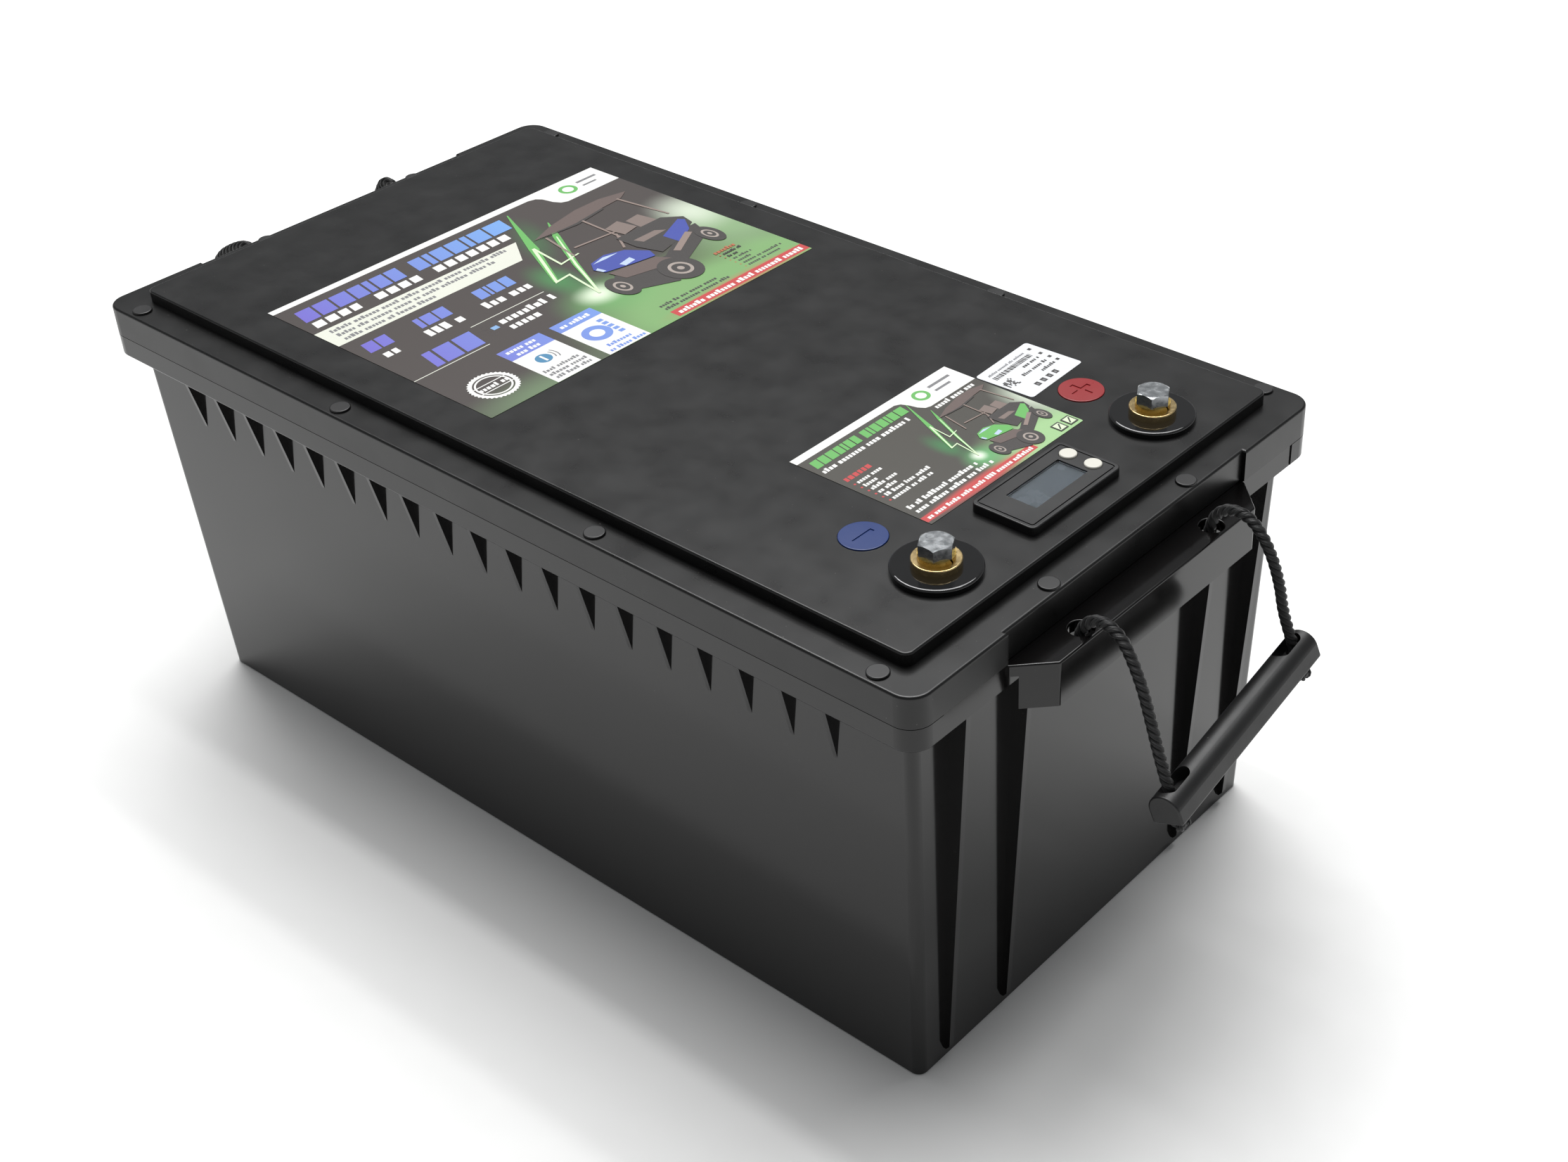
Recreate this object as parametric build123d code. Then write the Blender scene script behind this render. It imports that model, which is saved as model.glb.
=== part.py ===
from build123d import *

import math
import os

# Deep cycle lithium battery in a moulded monobloc case, with a rope handle at each end.
# Millimetres. +Z is up, +X points to the end with the terminals, and the origin is the
# centre of the case's footprint on the surface it stands on.

# ---- driving dimensions: case ----
BASE_SIZE = (465.4, 239.0)  # outside of the case where it stands
WALL_TOP_SIZE = (476.0, 249.6)  # outside of the walls just under the rim: 1.6 degrees of draft
INNER_TOP_SIZE = (463.4, 237.0)  # inside of the walls at the rim
CASE_CORNER_R = 4.5
INNER_CORNER_R = 4.0
WALL = 5.0
FLOOR_T = 5.0
BASE_EDGE_R = 0.8
RIM_SIZE = (494.0, 268.0)
RIM_CORNER_R = 10.0
RIM_BOTTOM_Z = 185.5
RIM_TOP_Z = 196.0
RIM_STEP = 0.5  # the rim's end faces stand back by this between the mould lines
RIM_STEP_HALF_Y = 117.6

# ---- gussets under the rim and ribs on the ends ----
GUSSET_COUNT = 19
GUSSET_SPAN_X = 397.2  # from the first gusset's centre to the last one's
GUSSET_T = 2.0
GUSSET_BOTTOM_Z = 156.4
GUSSET_REACH = 5.4  # how far a gusset stands out from the wall under the rim
RIB_YS = (-102.5, -64.0, 64.0, 102.5)
RIB_T = 2.8
RIB_FOOT_X = 235.5
RIB_FOOT_Z = 5.0

# ---- handle brackets, moulded with the case ----
BRACKET_TOP_Z = 195.8
BRACKET_BOTTOM_Z = 175.5
BRACKET_PLATE_T = 5.0
BRACKET_SKIRT_T = 2.6
BRACKET_REAR_X = 247.5
BRACKET_FRONT_X = 261.0
BRACKET_REAR_HALF_Y = 80.0
BRACKET_FRONT_HALF_Y = 66.6
BRACKET_GAP = 3.0  # slot between the rim and the bracket's side skirts
BRACKET_WEB_YS = (-20.0, 20.0)
BRACKET_WEB_T = 2.4
ROPE_HOLE_X = 254.2
ROPE_HOLE_Y = 44.5
ROPE_HOLE_R = 5.2

# ---- lid ----
SEAM_GAP = 0.3
LID_BOTTOM_Z = RIM_TOP_Z + SEAM_GAP
LEDGE_Z = 210.6
PLATEAU_Z = 216.5
PLATEAU_SIZE = (464.0, 239.0)
PLATEAU_CORNER_R = 4.0
LEDGE_EDGE_R = 1.2
PLATEAU_EDGE_R = 0.9
LID_ROOF_T = 4.0
LID_RECESS = 1.8  # the lid's end faces stand back over the handle brackets
SEAL_W = 3.0
SEAL_LINE_SIZE = (469.2, 243.2)  # centre line of the seal in the case rim
SEAL_GROOVE_DEPTH = 2.2

# ---- lid screws and the caps that hide them ----
LID_SCREW_ATS = [(x, y) for x in (-225.0, -79.0, 79.0, 225.0) for y in (-127.5, 127.5)]
LID_SCREW_ATS += [(x, y) for x in (-240.0, 240.0) for y in (-46.0, 46.0)]
SCREW_SHANK_R = 1.95
SCREW_HEAD_R = 3.5
SCREW_SEAT_Z = 200.5
SCREW_TIP_Z = 188.0
CAP_R = 4.5
CAP_STEM_R = 3.6
CAP_TOP_Z = 211.6

# ---- terminals ----
TERMINAL_X = 206.0
TERMINAL_Y = 71.0
BOSS_R = 18.3
BOSS_TOP_Z = 219.4
FLANGE_R = 10.0
FLANGE_TOP_Z = 222.4
STEM_R = 7.0
STEM_BOTTOM_Z = 198.5
BOLT_R = 4.0
BORE_R = 4.05
BORE_BOTTOM_Z = 204.0
BOLT_LENGTH = 16.0
BOLT_HEAD_AF = 13.0
BOLT_HEAD_H = 5.3
WASHER_T = 2.0
WASHER_R = 7.4
NUT_AF = 19.0
POLARITY_X = 169.5
POLARITY_R = 10.0

# ---- capacity meter ----
METER_X = (190.4, 221.8)
METER_Y = (-31.5, 27.0)
METER_TOP_Z = 220.4
METER_CORNER_R = 3.0
METER_BODY_SIZE = (25.6, 54.0)
METER_BODY_AT = (206.0, -1.2)
METER_BODY_BOTTOM_Z = 204.4
METER_BODY_WALL = 1.2
WINDOW_SIZE = (15.0, 34.0)
WINDOW_AT = (206.0, -1.9)
BUTTON_XS = (199.6, 212.0)
BUTTON_Y = 20.6
BUTTON_R = 3.75
BUTTON_TRAVEL = 0.8

# ---- labels ----
LABEL_T = 0.2
MAIN_LABEL = ((-166.0, -99.4), (-12.4, 102.2))
SAFETY_LABEL = ((110.4, -48.4), (185.0, 51.2))
SERIAL_SIZE = (30.0, 38.0)
SERIAL_AT = (141.2, 71.6)
SERIAL_TURN = 2.6

# ---- cells and what clamps them ----
CELLS_PER_ROW = 7
CELL_SIZE = (59.0, 110.0, 168.0)
CELL_PITCH = 60.0
ROW_Y = 56.0
CELL_BOTTOM_Z = 9.0
CELL_TOP_Z = CELL_BOTTOM_Z + CELL_SIZE[2]
PAD_HALF_Y = 35.0  # a cell's two terminals stand this far from its middle
PAD_TOP_Z = CELL_TOP_Z + 3.0
LINK_T = 2.0
STUD_R = 3.0
STUD_TOP_Z = PAD_TOP_Z + 9.0
END_PLATE_T = 6.0
BAND_W = 14.0

# ---- battery management board ----
BMS_AT = (10.0, 0.0)
BMS_SIZE = (230.0, 130.0)
TRAY_Z = 191.0
BOARD_Z = 196.0
BOARD_T = 1.6
POST_X = 108.0
POST_YS = (-46.0, -18.0)
LEAD_R = 4.25
LUG_T = 3.0
LUG_BARREL_R = 6.0
LUG_BARREL_L = 16.0

# ---- rope handles ----
ROPE_R = 2.5
KNOT_R = 5.3
GRIP_W = 14.0
GRIP_H = 13.0
GRIP_SIDE_H = 6.5
GRIP_LENGTH = 115.0
GRIP_ROLL = 20.0  # the grip leans with the rope that holds it
GRIP_YAW = 4.9  # one end hangs nearer the case
GRIP_TILT = 4.1  # and a little higher
GRIP_CENTRE = (298.4, 0.0, 143.9)
GRIP_SLOT = (17.0, 7.6)
GRIP_SLOT_Y = 46.0
GRIP_HOLE_Y = 50.5
SLOT_DEPTH = 6.0

# The centre line of each rope, from the knot under the bracket to the knot under the grip.
ROPE_NEAR = [
    (252.9, -44.5, 184.6),
    (253.4, -44.5, 196.0),
    (261.8, -44.7, 203.8),
    (273.2, -45.2, 201.6),
    (283.2, -46.2, 185.5),
    (289.4, -47.6, 170.8),
    (294.8, -49.3, 158.4),
    (300.5, -50.8, 146.4),
    (304.9, -49.6, 134.2),
]
ROPE_FAR = [
    (252.9, 44.5, 188.0),
    (253.5, 44.5, 199.2),
    (261.4, 44.8, 207.2),
    (272.6, 45.4, 206.0),
    (281.2, 46.4, 193.5),
    (286.0, 47.8, 178.0),
    (287.5, 48.8, 166.6),
    (291.9, 49.6, 153.6),
    (296.3, 50.8, 141.4),
]
# The ropes of the handle at the other end lie lower over their bracket. They are drawn at
# this end and turned half a turn with their grip, so the one at -Y here is the far one there.
REAR_ROPE_FAR = [
    (252.9, -44.5, 184.6),
    (253.0, -44.5, 192.6),
    (253.6, -44.5, 199.4),
    (258.8, -44.6, 204.0),
    (265.6, -44.8, 202.2),
    (270.4, -45.2, 196.0),
    (276.0, -45.9, 187.2),
    (282.4, -46.9, 177.8),
    (288.8, -48.2, 167.8),
    (294.8, -49.6, 157.2),
    (300.5, -50.8, 146.4),
    (304.9, -49.6, 134.2),
]
REAR_ROPE_NEAR = [
    (252.9, 44.5, 188.0),
    (253.0, 44.5, 194.6),
    (255.4, 44.5, 199.4),
    (260.8, 44.6, 201.4),
    (267.6, 44.9, 199.4),
    (275.2, 45.5, 195.6),
    (282.6, 46.2, 191.0),
    (288.6, 47.1, 184.0),
    (290.8, 47.9, 174.2),
    (290.4, 48.7, 163.8),
    (291.9, 49.6, 153.6),
    (296.3, 50.8, 141.4),
]


def slab(size, corner_r, z0, z1, at=(0.0, 0.0)):
    """A rounded rectangle of size, standing from z0 to z1."""
    outline = Pos(at[0], at[1], z0) * RectangleRounded(size[0], size[1], corner_r)
    return extrude(outline, amount=z1 - z0)


def block(low, high):
    """A plain box between two opposite corners."""
    size = [b - a for a, b in zip(low, high)]
    return Pos(*low) * Box(*size, align=(Align.MIN, Align.MIN, Align.MIN))


def disc(radius, z0, z1, at):
    """An upright cylinder from z0 to z1."""
    return Pos(at[0], at[1], z0) * Cylinder(radius, z1 - z0, align=(Align.CENTER, Align.CENTER, Align.MIN))


def ring(outer_r, inner_r, z0, z1, at):
    """An upright tube from z0 to z1."""
    return disc(outer_r, z0, z1, at) - disc(inner_r, z0 - 1.0, z1 + 1.0, at)


def hexagon(across_flats, z0, z1, at):
    """An upright hexagonal prism."""
    outline = Pos(at[0], at[1], z0) * RegularPolygon(across_flats / 2, 6, major_radius=False)
    return extrude(outline, amount=z1 - z0)


def tapered(bottom_size, top_size, corner_r, z0, z1):
    """A solid whose walls lean from one rounded rectangle to another."""
    bottom = Pos(0, 0, z0) * RectangleRounded(bottom_size[0], bottom_size[1], corner_r)
    top = Pos(0, 0, z1) * RectangleRounded(top_size[0], top_size[1], corner_r)
    return loft([bottom, top], ruled=True)


def in_xz(points, y, thickness):
    """A flat web drawn in X and Z, centred on y."""
    outline = Plane.XZ.offset(-y) * Polygon(*points, align=None)
    return extrude(outline, amount=thickness / 2, both=True)


def in_yz(points, x, thickness):
    """A flat web drawn in Y and Z, centred on x."""
    outline = Plane.YZ.offset(x) * Polygon(*points, align=None)
    return extrude(outline, amount=thickness / 2, both=True)


def both_ends(solid):
    """The solid and its mirror image at the other end of the battery."""
    return [solid, mirror(solid, about=Plane.YZ)]


def other_end(shape):
    """The shape turned half a turn about Z, as the handle at the other end is."""
    return Rot(0, 0, 180) * shape


def group(solids):
    """Several separate solids in one node."""
    return Compound(children=[s.solid() for s in solids])


def rope_radii(points):
    """The arc at each corner of a route: 0.45 of the shorter run over the tangent of half the turn."""
    radii = []
    for a, b, c in zip(points, points[1:], points[2:]):
        before = Vector(*b) - Vector(*a)
        after = Vector(*c) - Vector(*b)
        half_turn = math.radians(before.get_angle(after)) / 2
        radii.append(0.45 * min(before.length, after.length) / math.tan(half_turn))
    return radii


def tube(points, radius, name):
    """A round tube of straight runs joined by tangent arcs, with its length and tightest arc printed."""
    radii = rope_radii(points)
    path = FilletPolyline(*points, radius=radii)
    start = Plane(origin=path @ 0, z_dir=path % 0)
    solid = sweep(start * Circle(radius), path=path)
    expected = math.pi * radius**2 * path.length
    share = solid.volume / expected
    print(f"{name}: {path.length:.1f} mm long, radii {[round(r, 1) for r in radii]}, volume {share:.4f} of expected")
    return solid


# ---- case and lid ----


def make_bracket():
    """The handle bracket at the +X end: a plate with a skirt round it, open underneath."""
    inside_x = RIM_SIZE[0] / 2 - 7.0
    rear, front = BRACKET_REAR_X, BRACKET_FRONT_X
    outline = [
        (inside_x, -BRACKET_REAR_HALF_Y),
        (rear, -BRACKET_REAR_HALF_Y),
        (front, -BRACKET_FRONT_HALF_Y),
        (front, BRACKET_FRONT_HALF_Y),
        (rear, BRACKET_REAR_HALF_Y),
        (inside_x, BRACKET_REAR_HALF_Y),
    ]
    height = BRACKET_TOP_Z - BRACKET_BOTTOM_Z
    body = extrude(Pos(0, 0, BRACKET_BOTTOM_Z) * Polygon(*outline, align=None), amount=height)
    front_corners = body.edges().filter_by(Axis.Z).sort_by(Axis.X)[-2:]
    body = fillet(front_corners, 1.5)
    top_edges = body.faces().sort_by(Axis.Z)[-1].edges().filter_by(lambda e: e.center().X > rear)
    body = fillet(top_edges, 0.8)
    t = BRACKET_SKIRT_T
    slant = t * math.tan(math.radians(22.5))
    hollow_outline = [
        (inside_x - 1, -BRACKET_REAR_HALF_Y + t + slant + 2.5),
        (rear, -BRACKET_REAR_HALF_Y + t + slant),
        (front - t, -BRACKET_FRONT_HALF_Y + slant),
        (front - t, BRACKET_FRONT_HALF_Y - slant),
        (rear, BRACKET_REAR_HALF_Y - t - slant),
        (inside_x - 1, BRACKET_REAR_HALF_Y - t - slant - 2.5),
    ]
    plate_bottom = BRACKET_TOP_Z - BRACKET_PLATE_T
    hollow_height = plate_bottom - BRACKET_BOTTOM_Z + 1
    low = Pos(0, 0, BRACKET_BOTTOM_Z - 1)
    body -= extrude(low * Polygon(*hollow_outline, align=None), amount=hollow_height)
    slot_x = RIM_SIZE[0] / 2 + BRACKET_GAP
    wide = BRACKET_REAR_HALF_Y + 1
    body -= block((inside_x - 1, -wide, BRACKET_BOTTOM_Z - 1), (slot_x, wide, plate_bottom))
    for y in BRACKET_WEB_YS:
        web = [(234, plate_bottom + 1), (front - 1, plate_bottom + 1), (front - 1, 178), (234, 170)]
        body += in_xz(web, y, BRACKET_WEB_T)
    for side in (-1, 1):
        body -= disc(ROPE_HOLE_R, plate_bottom - 1, BRACKET_TOP_Z + 1, (ROPE_HOLE_X, side * ROPE_HOLE_Y))
    mouths = body.edges().filter_by(GeomType.CIRCLE)
    mouths = mouths.filter_by(lambda e: abs(e.radius - ROPE_HOLE_R) < 0.01 and e.center().Z > BRACKET_TOP_Z - 0.1)
    return fillet(mouths, 0.5)


def make_case():
    """The open-topped case: leaning walls, rim, gussets, end ribs and both handle brackets."""
    body = tapered(BASE_SIZE, WALL_TOP_SIZE, CASE_CORNER_R, 0, RIM_BOTTOM_Z)
    body = fillet(body.edges().group_by(Axis.Z)[0], BASE_EDGE_R)
    rim = slab(RIM_SIZE, RIM_CORNER_R, RIM_BOTTOM_Z, RIM_TOP_Z)
    rim = fillet(rim.edges().group_by(Axis.Z)[0], 1.0)
    half_rim_x = RIM_SIZE[0] / 2
    for side in (-1, 1):
        x0, x1 = sorted((side * (half_rim_x - RIM_STEP), side * (half_rim_x + 1)))
        step = block((x0, -RIM_STEP_HALF_Y, RIM_BOTTOM_Z - 1), (x1, RIM_STEP_HALF_Y, RIM_TOP_Z + 1))
        rim -= step
    body += rim
    wall_y = WALL_TOP_SIZE[1] / 2
    gusset = [
        (wall_y - 3, RIM_BOTTOM_Z + 2),
        (wall_y + GUSSET_REACH, RIM_BOTTOM_Z + 2),
        (wall_y + GUSSET_REACH, RIM_BOTTOM_Z - 0.2),
        (wall_y - 0.8, GUSSET_BOTTOM_Z),
        (wall_y - 3, GUSSET_BOTTOM_Z),
    ]
    pitch = GUSSET_SPAN_X / (GUSSET_COUNT - 1)
    webs = []
    for i in range(GUSSET_COUNT):
        web = in_yz(gusset, -GUSSET_SPAN_X / 2 + i * pitch, GUSSET_T)
        webs += [web, mirror(web, about=Plane.XZ)]
    rib = [
        (WALL_TOP_SIZE[0] / 2 - 6, RIM_BOTTOM_Z + 2),
        (half_rim_x - RIM_STEP - 0.3, RIM_BOTTOM_Z + 2),
        (half_rim_x - RIM_STEP - 0.3, RIM_BOTTOM_Z - 0.2),
        (RIB_FOOT_X, RIB_FOOT_Z + 2.5),
        (RIB_FOOT_X - 1.8, RIB_FOOT_Z),
        (WALL_TOP_SIZE[0] / 2 - 6, RIB_FOOT_Z),
    ]
    for y in RIB_YS:
        webs += both_ends(in_xz(rib, y, RIB_T))
    webs += both_ends(make_bracket())
    body = body.fuse(*[w.solid() for w in webs])
    inner_base = (BASE_SIZE[0] - 2 * WALL, BASE_SIZE[1] - 2 * WALL)
    body -= tapered(inner_base, INNER_TOP_SIZE, INNER_CORNER_R, FLOOR_T, RIM_TOP_Z + 1)
    body -= seal_ring(SEAL_W + 0.2, RIM_TOP_Z - SEAL_GROOVE_DEPTH, RIM_TOP_Z + 1)
    for at in LID_SCREW_ATS:
        body -= disc(SCREW_SHANK_R + 0.05, SCREW_TIP_Z - 1, RIM_TOP_Z + 1, at)
    return body


def seal_ring(width, z0, z1):
    """A rectangular ring that follows the case rim."""
    outer = slab([s + width for s in SEAL_LINE_SIZE], 6.0, z0, z1)
    inner = slab([s - width for s in SEAL_LINE_SIZE], 6.0 - width / 2, z0 - 1, z1 + 1)
    return outer - inner


def make_lid():
    """The lid: a ledge round a raised plateau, hollow underneath, with every opening cut."""
    skirt = slab(RIM_SIZE, RIM_CORNER_R, LID_BOTTOM_Z, LEDGE_Z)
    half_x = RIM_SIZE[0] / 2
    for side in (-1, 1):
        x0, x1 = sorted((side * (half_x - LID_RECESS), side * (half_x + 1)))
        skirt -= block((x0, -BRACKET_REAR_HALF_Y, LID_BOTTOM_Z - 1), (x1, BRACKET_REAR_HALF_Y, LEDGE_Z + 1))
    skirt = fillet(skirt.edges().group_by(Axis.Z)[-1], LEDGE_EDGE_R)
    plateau = slab(PLATEAU_SIZE, PLATEAU_CORNER_R, LEDGE_Z - 2, PLATEAU_Z)
    plateau = fillet(plateau.edges().group_by(Axis.Z)[-1], PLATEAU_EDGE_R)
    body = skirt + plateau
    body -= slab(INNER_TOP_SIZE, INNER_CORNER_R, LID_BOTTOM_Z - 1, LEDGE_Z - LID_ROOF_T)
    under_plateau = [s - 2 * LID_ROOF_T for s in PLATEAU_SIZE]
    body -= slab(under_plateau, 2.0, LID_BOTTOM_Z - 1, PLATEAU_Z - LID_ROOF_T)
    for at in LID_SCREW_ATS:
        body -= disc(SCREW_SHANK_R + 0.25, LID_BOTTOM_Z - 1, SCREW_SEAT_Z + 1, at)
        body -= disc(CAP_STEM_R + 0.1, SCREW_SEAT_Z, LEDGE_Z + 1, at)
    for side in (-1, 1):
        body -= disc(STEM_R + 0.2, LEDGE_Z, PLATEAU_Z + 1, (TERMINAL_X, side * TERMINAL_Y))
        body -= disc(POLARITY_R + 0.2, PLATEAU_Z - 0.6, PLATEAU_Z + 1, (POLARITY_X, side * TERMINAL_Y))
    opening = [s + 0.4 for s in METER_BODY_SIZE]
    body -= slab(opening, 1.2, LEDGE_Z - 2, PLATEAU_Z + 1, METER_BODY_AT)
    return body


def make_lid_screws():
    """One self-tapping screw at each point round the ledge."""
    screws = []
    for at in LID_SCREW_ATS:
        shank = disc(SCREW_SHANK_R, SCREW_TIP_Z, SCREW_SEAT_Z + 0.5, at)
        head = disc(SCREW_HEAD_R, SCREW_SEAT_Z, SCREW_SEAT_Z + 2.8, at)
        drive = Pos(at[0], at[1], SCREW_SEAT_Z + 2.2) * Box(4.4, 1.0, 1.4)
        cross = Pos(at[0], at[1], SCREW_SEAT_Z + 2.2) * Box(1.0, 4.4, 1.4)
        screws.append(shank + head - drive - cross)
    return group(screws)


def make_screw_caps():
    """One push-in cap over each lid screw."""
    caps = []
    for at in LID_SCREW_ATS:
        head = disc(CAP_R, LEDGE_Z, CAP_TOP_Z, at)
        head = fillet(head.edges().group_by(Axis.Z)[-1], 0.5)
        caps.append(head + disc(CAP_STEM_R, LEDGE_Z - 4.5, LEDGE_Z, at))
    return group(caps)


# ---- terminals ----


def make_terminal_boss(at):
    """The glossy moulded boss that a terminal stands on."""
    body = disc(BOSS_R, PLATEAU_Z, BOSS_TOP_Z, at)
    body = fillet(body.edges().group_by(Axis.Z)[-1], 1.0)
    body -= disc(STEM_R + 0.2, PLATEAU_Z - 1, BOSS_TOP_Z + 1, at)
    groove = ring(12.2, 9.8, PLATEAU_Z - 1, PLATEAU_Z + 1.7, at)
    return body - groove


def make_terminal(at):
    """A brass terminal: contact flange, stem and a threaded bore, drawn as a plain bore."""
    flange = disc(FLANGE_R, BOSS_TOP_Z, FLANGE_TOP_Z, at)
    flange = fillet(flange.edges().group_by(Axis.Z)[-1], 0.4)
    body = flange + disc(STEM_R, STEM_BOTTOM_Z, BOSS_TOP_Z, at)
    body -= disc(BORE_R, BORE_BOTTOM_Z, FLANGE_TOP_Z + 1, at)
    mouth = body.edges().filter_by(GeomType.CIRCLE)
    mouth = mouth.filter_by(lambda e: abs(e.radius - BORE_R) < 0.01 and e.center().Z > FLANGE_TOP_Z - 0.1)
    return chamfer(mouth, 0.6)


def make_spring_washer(at):
    """A split spring washer, pressed flat under the bolt head."""
    body = ring(WASHER_R, BOLT_R + 0.2, FLANGE_TOP_Z, FLANGE_TOP_Z + WASHER_T, at)
    split = Pos(at[0] + 5.6, at[1], FLANGE_TOP_Z + WASHER_T / 2) * Rot(30, 0, 0) * Box(5, 0.8, 6)
    return body - split


def make_bolt(at):
    """A hex head bolt seated on its washer."""
    seat = FLANGE_TOP_Z + WASHER_T
    head = hexagon(BOLT_HEAD_AF, seat, seat + BOLT_HEAD_H, at)
    corner_r = BOLT_HEAD_AF / math.sqrt(3)
    dome = Pos(at[0], at[1], seat) * Cone(corner_r + 7.6, corner_r - 1.0, BOLT_HEAD_H, align=(Align.CENTER, Align.CENTER, Align.MIN))
    head = head & dome
    shank = disc(BOLT_R, seat - BOLT_LENGTH, seat + 1, at)
    shank = chamfer(shank.edges().group_by(Axis.Z)[0], 0.8)
    return head + shank


def make_terminal_seals():
    """The O-ring under each terminal boss."""
    seals = [Pos(TERMINAL_X, s * TERMINAL_Y, PLATEAU_Z + 0.85) * Torus(11.0, 0.8) for s in (-1, 1)]
    return group(seals)


def make_terminal_nuts():
    """Two nuts on each terminal's stem, one against the lid and one under the cable lug."""
    roof = PLATEAU_Z - LID_ROOF_T
    lug_top = roof - 6.2
    lug_bottom = lug_top - LUG_T
    nuts = []
    for side in (-1, 1):
        at = (TERMINAL_X, side * TERMINAL_Y)
        for z0, z1 in ((lug_top, roof), (lug_bottom - 4.0, lug_bottom)):
            nuts.append(hexagon(NUT_AF, z0, z1, at) - disc(STEM_R + 0.05, z0 - 1, z1 + 1, at))
    return group(nuts)


def make_polarity_disc(side):
    """A coloured disc let into the lid, with a sunk minus bar or plus cross."""
    at = (POLARITY_X, side * TERMINAL_Y)
    body = disc(POLARITY_R, PLATEAU_Z - 0.6, PLATEAU_Z + 0.5, at)
    body = fillet(body.edges().group_by(Axis.Z)[-1], 0.3)
    depth_z = PLATEAU_Z + 0.5
    body -= Pos(at[0], at[1], depth_z) * Box(2.2, 11.0, 0.8)
    if side > 0:
        body -= Pos(at[0], at[1], depth_z) * Box(11.0, 2.2, 0.8)
    return body


# ---- capacity meter ----


def make_meter_bezel():
    """The meter's housing: a flat plate on the lid and a box through it."""
    size = (METER_X[1] - METER_X[0], METER_Y[1] - METER_Y[0])
    at = (sum(METER_X) / 2, sum(METER_Y) / 2)
    plate = slab(size, METER_CORNER_R, PLATEAU_Z, METER_TOP_Z, at)
    plate = fillet(plate.edges().group_by(Axis.Z)[-1], 0.5)
    groove_size = [s - 3.4 for s in size]
    island_size = [s - 4.6 for s in size]
    groove = slab(groove_size, 1.6, METER_TOP_Z - 0.5, METER_TOP_Z + 1, at)
    groove -= slab(island_size, 1.0, METER_TOP_Z - 1, METER_TOP_Z + 2, at)
    body = plate - groove
    body += slab(METER_BODY_SIZE, 1.0, METER_BODY_BOTTOM_Z, PLATEAU_Z, METER_BODY_AT)
    inside = [s - 2 * METER_BODY_WALL for s in METER_BODY_SIZE]
    body -= slab(inside, 0.5, METER_BODY_BOTTOM_Z - 1, PLATEAU_Z, METER_BODY_AT)
    body -= slab(WINDOW_SIZE, 0.4, PLATEAU_Z - 1, METER_TOP_Z + 1, WINDOW_AT)
    for x in BUTTON_XS:
        body -= disc(BUTTON_R + 0.2, PLATEAU_Z - 1, METER_TOP_Z + 1, (x, BUTTON_Y))
    return body


def make_meter_window():
    """The clear window, just below the bezel's face."""
    size = [s - 0.2 for s in WINDOW_SIZE]
    return slab(size, 0.3, METER_TOP_Z - 1.8, METER_TOP_Z - 0.6, WINDOW_AT)


def make_meter_display():
    """The liquid crystal module under the window."""
    glass = slab([s - 0.6 for s in WINDOW_SIZE], 0.3, PLATEAU_Z - 0.2, METER_TOP_Z - 1.9, WINDOW_AT)
    return glass + slab((18.0, 36.0), 0.5, PLATEAU_Z - 3.4, PLATEAU_Z - 0.1, WINDOW_AT)


def make_meter_board():
    """The meter's circuit board, with a switch under each button."""
    inside = [s - 2 * METER_BODY_WALL - 0.4 for s in METER_BODY_SIZE]
    board = slab(inside, 0.5, PLATEAU_Z - 7.5, PLATEAU_Z - 5.9, METER_BODY_AT)
    for x in BUTTON_XS:
        board += block((x - 3, BUTTON_Y - 3, PLATEAU_Z - 6), (x + 3, BUTTON_Y + 3, PLATEAU_Z - 4.8))
    socket = Pos(206.0, -2.0, PLATEAU_Z - 9.0) * Box(8.0, 6.0, 3.2)
    return board + socket


def make_meter_button(x):
    """A round push button with a flange that keeps it in the bezel."""
    at = (x, BUTTON_Y)
    cap = disc(BUTTON_R, PLATEAU_Z - 1.2, METER_TOP_Z + 0.9, at)
    cap = fillet(cap.edges().group_by(Axis.Z)[-1], 0.6)
    flange = block((x - 4.5, BUTTON_Y - 3.4, PLATEAU_Z - 1.2), (x + 4.5, BUTTON_Y + 3.4, PLATEAU_Z - 0.2))
    stem = disc(2.4, PLATEAU_Z - 3.9, PLATEAU_Z - 1.0, at)
    return cap + flange + stem


# ---- labels ----


def make_label(corners):
    """A thin printed vinyl label on the plateau."""
    (x0, y0), (x1, y1) = corners
    return slab((x1 - x0, y1 - y0), 0.6, PLATEAU_Z, PLATEAU_Z + LABEL_T, ((x0 + x1) / 2, (y0 + y1) / 2))


def make_serial_label():
    """The small white label, stuck on slightly crooked."""
    outline = Pos(*SERIAL_AT, PLATEAU_Z) * Rot(0, 0, SERIAL_TURN) * RectangleRounded(*SERIAL_SIZE, 1.6)
    return extrude(outline, amount=LABEL_T)


# ---- cells ----


def cell_xs():
    """The middle of each cell along a row."""
    return [CELL_PITCH * (i - (CELLS_PER_ROW - 1) / 2) for i in range(CELLS_PER_ROW)]


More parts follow.
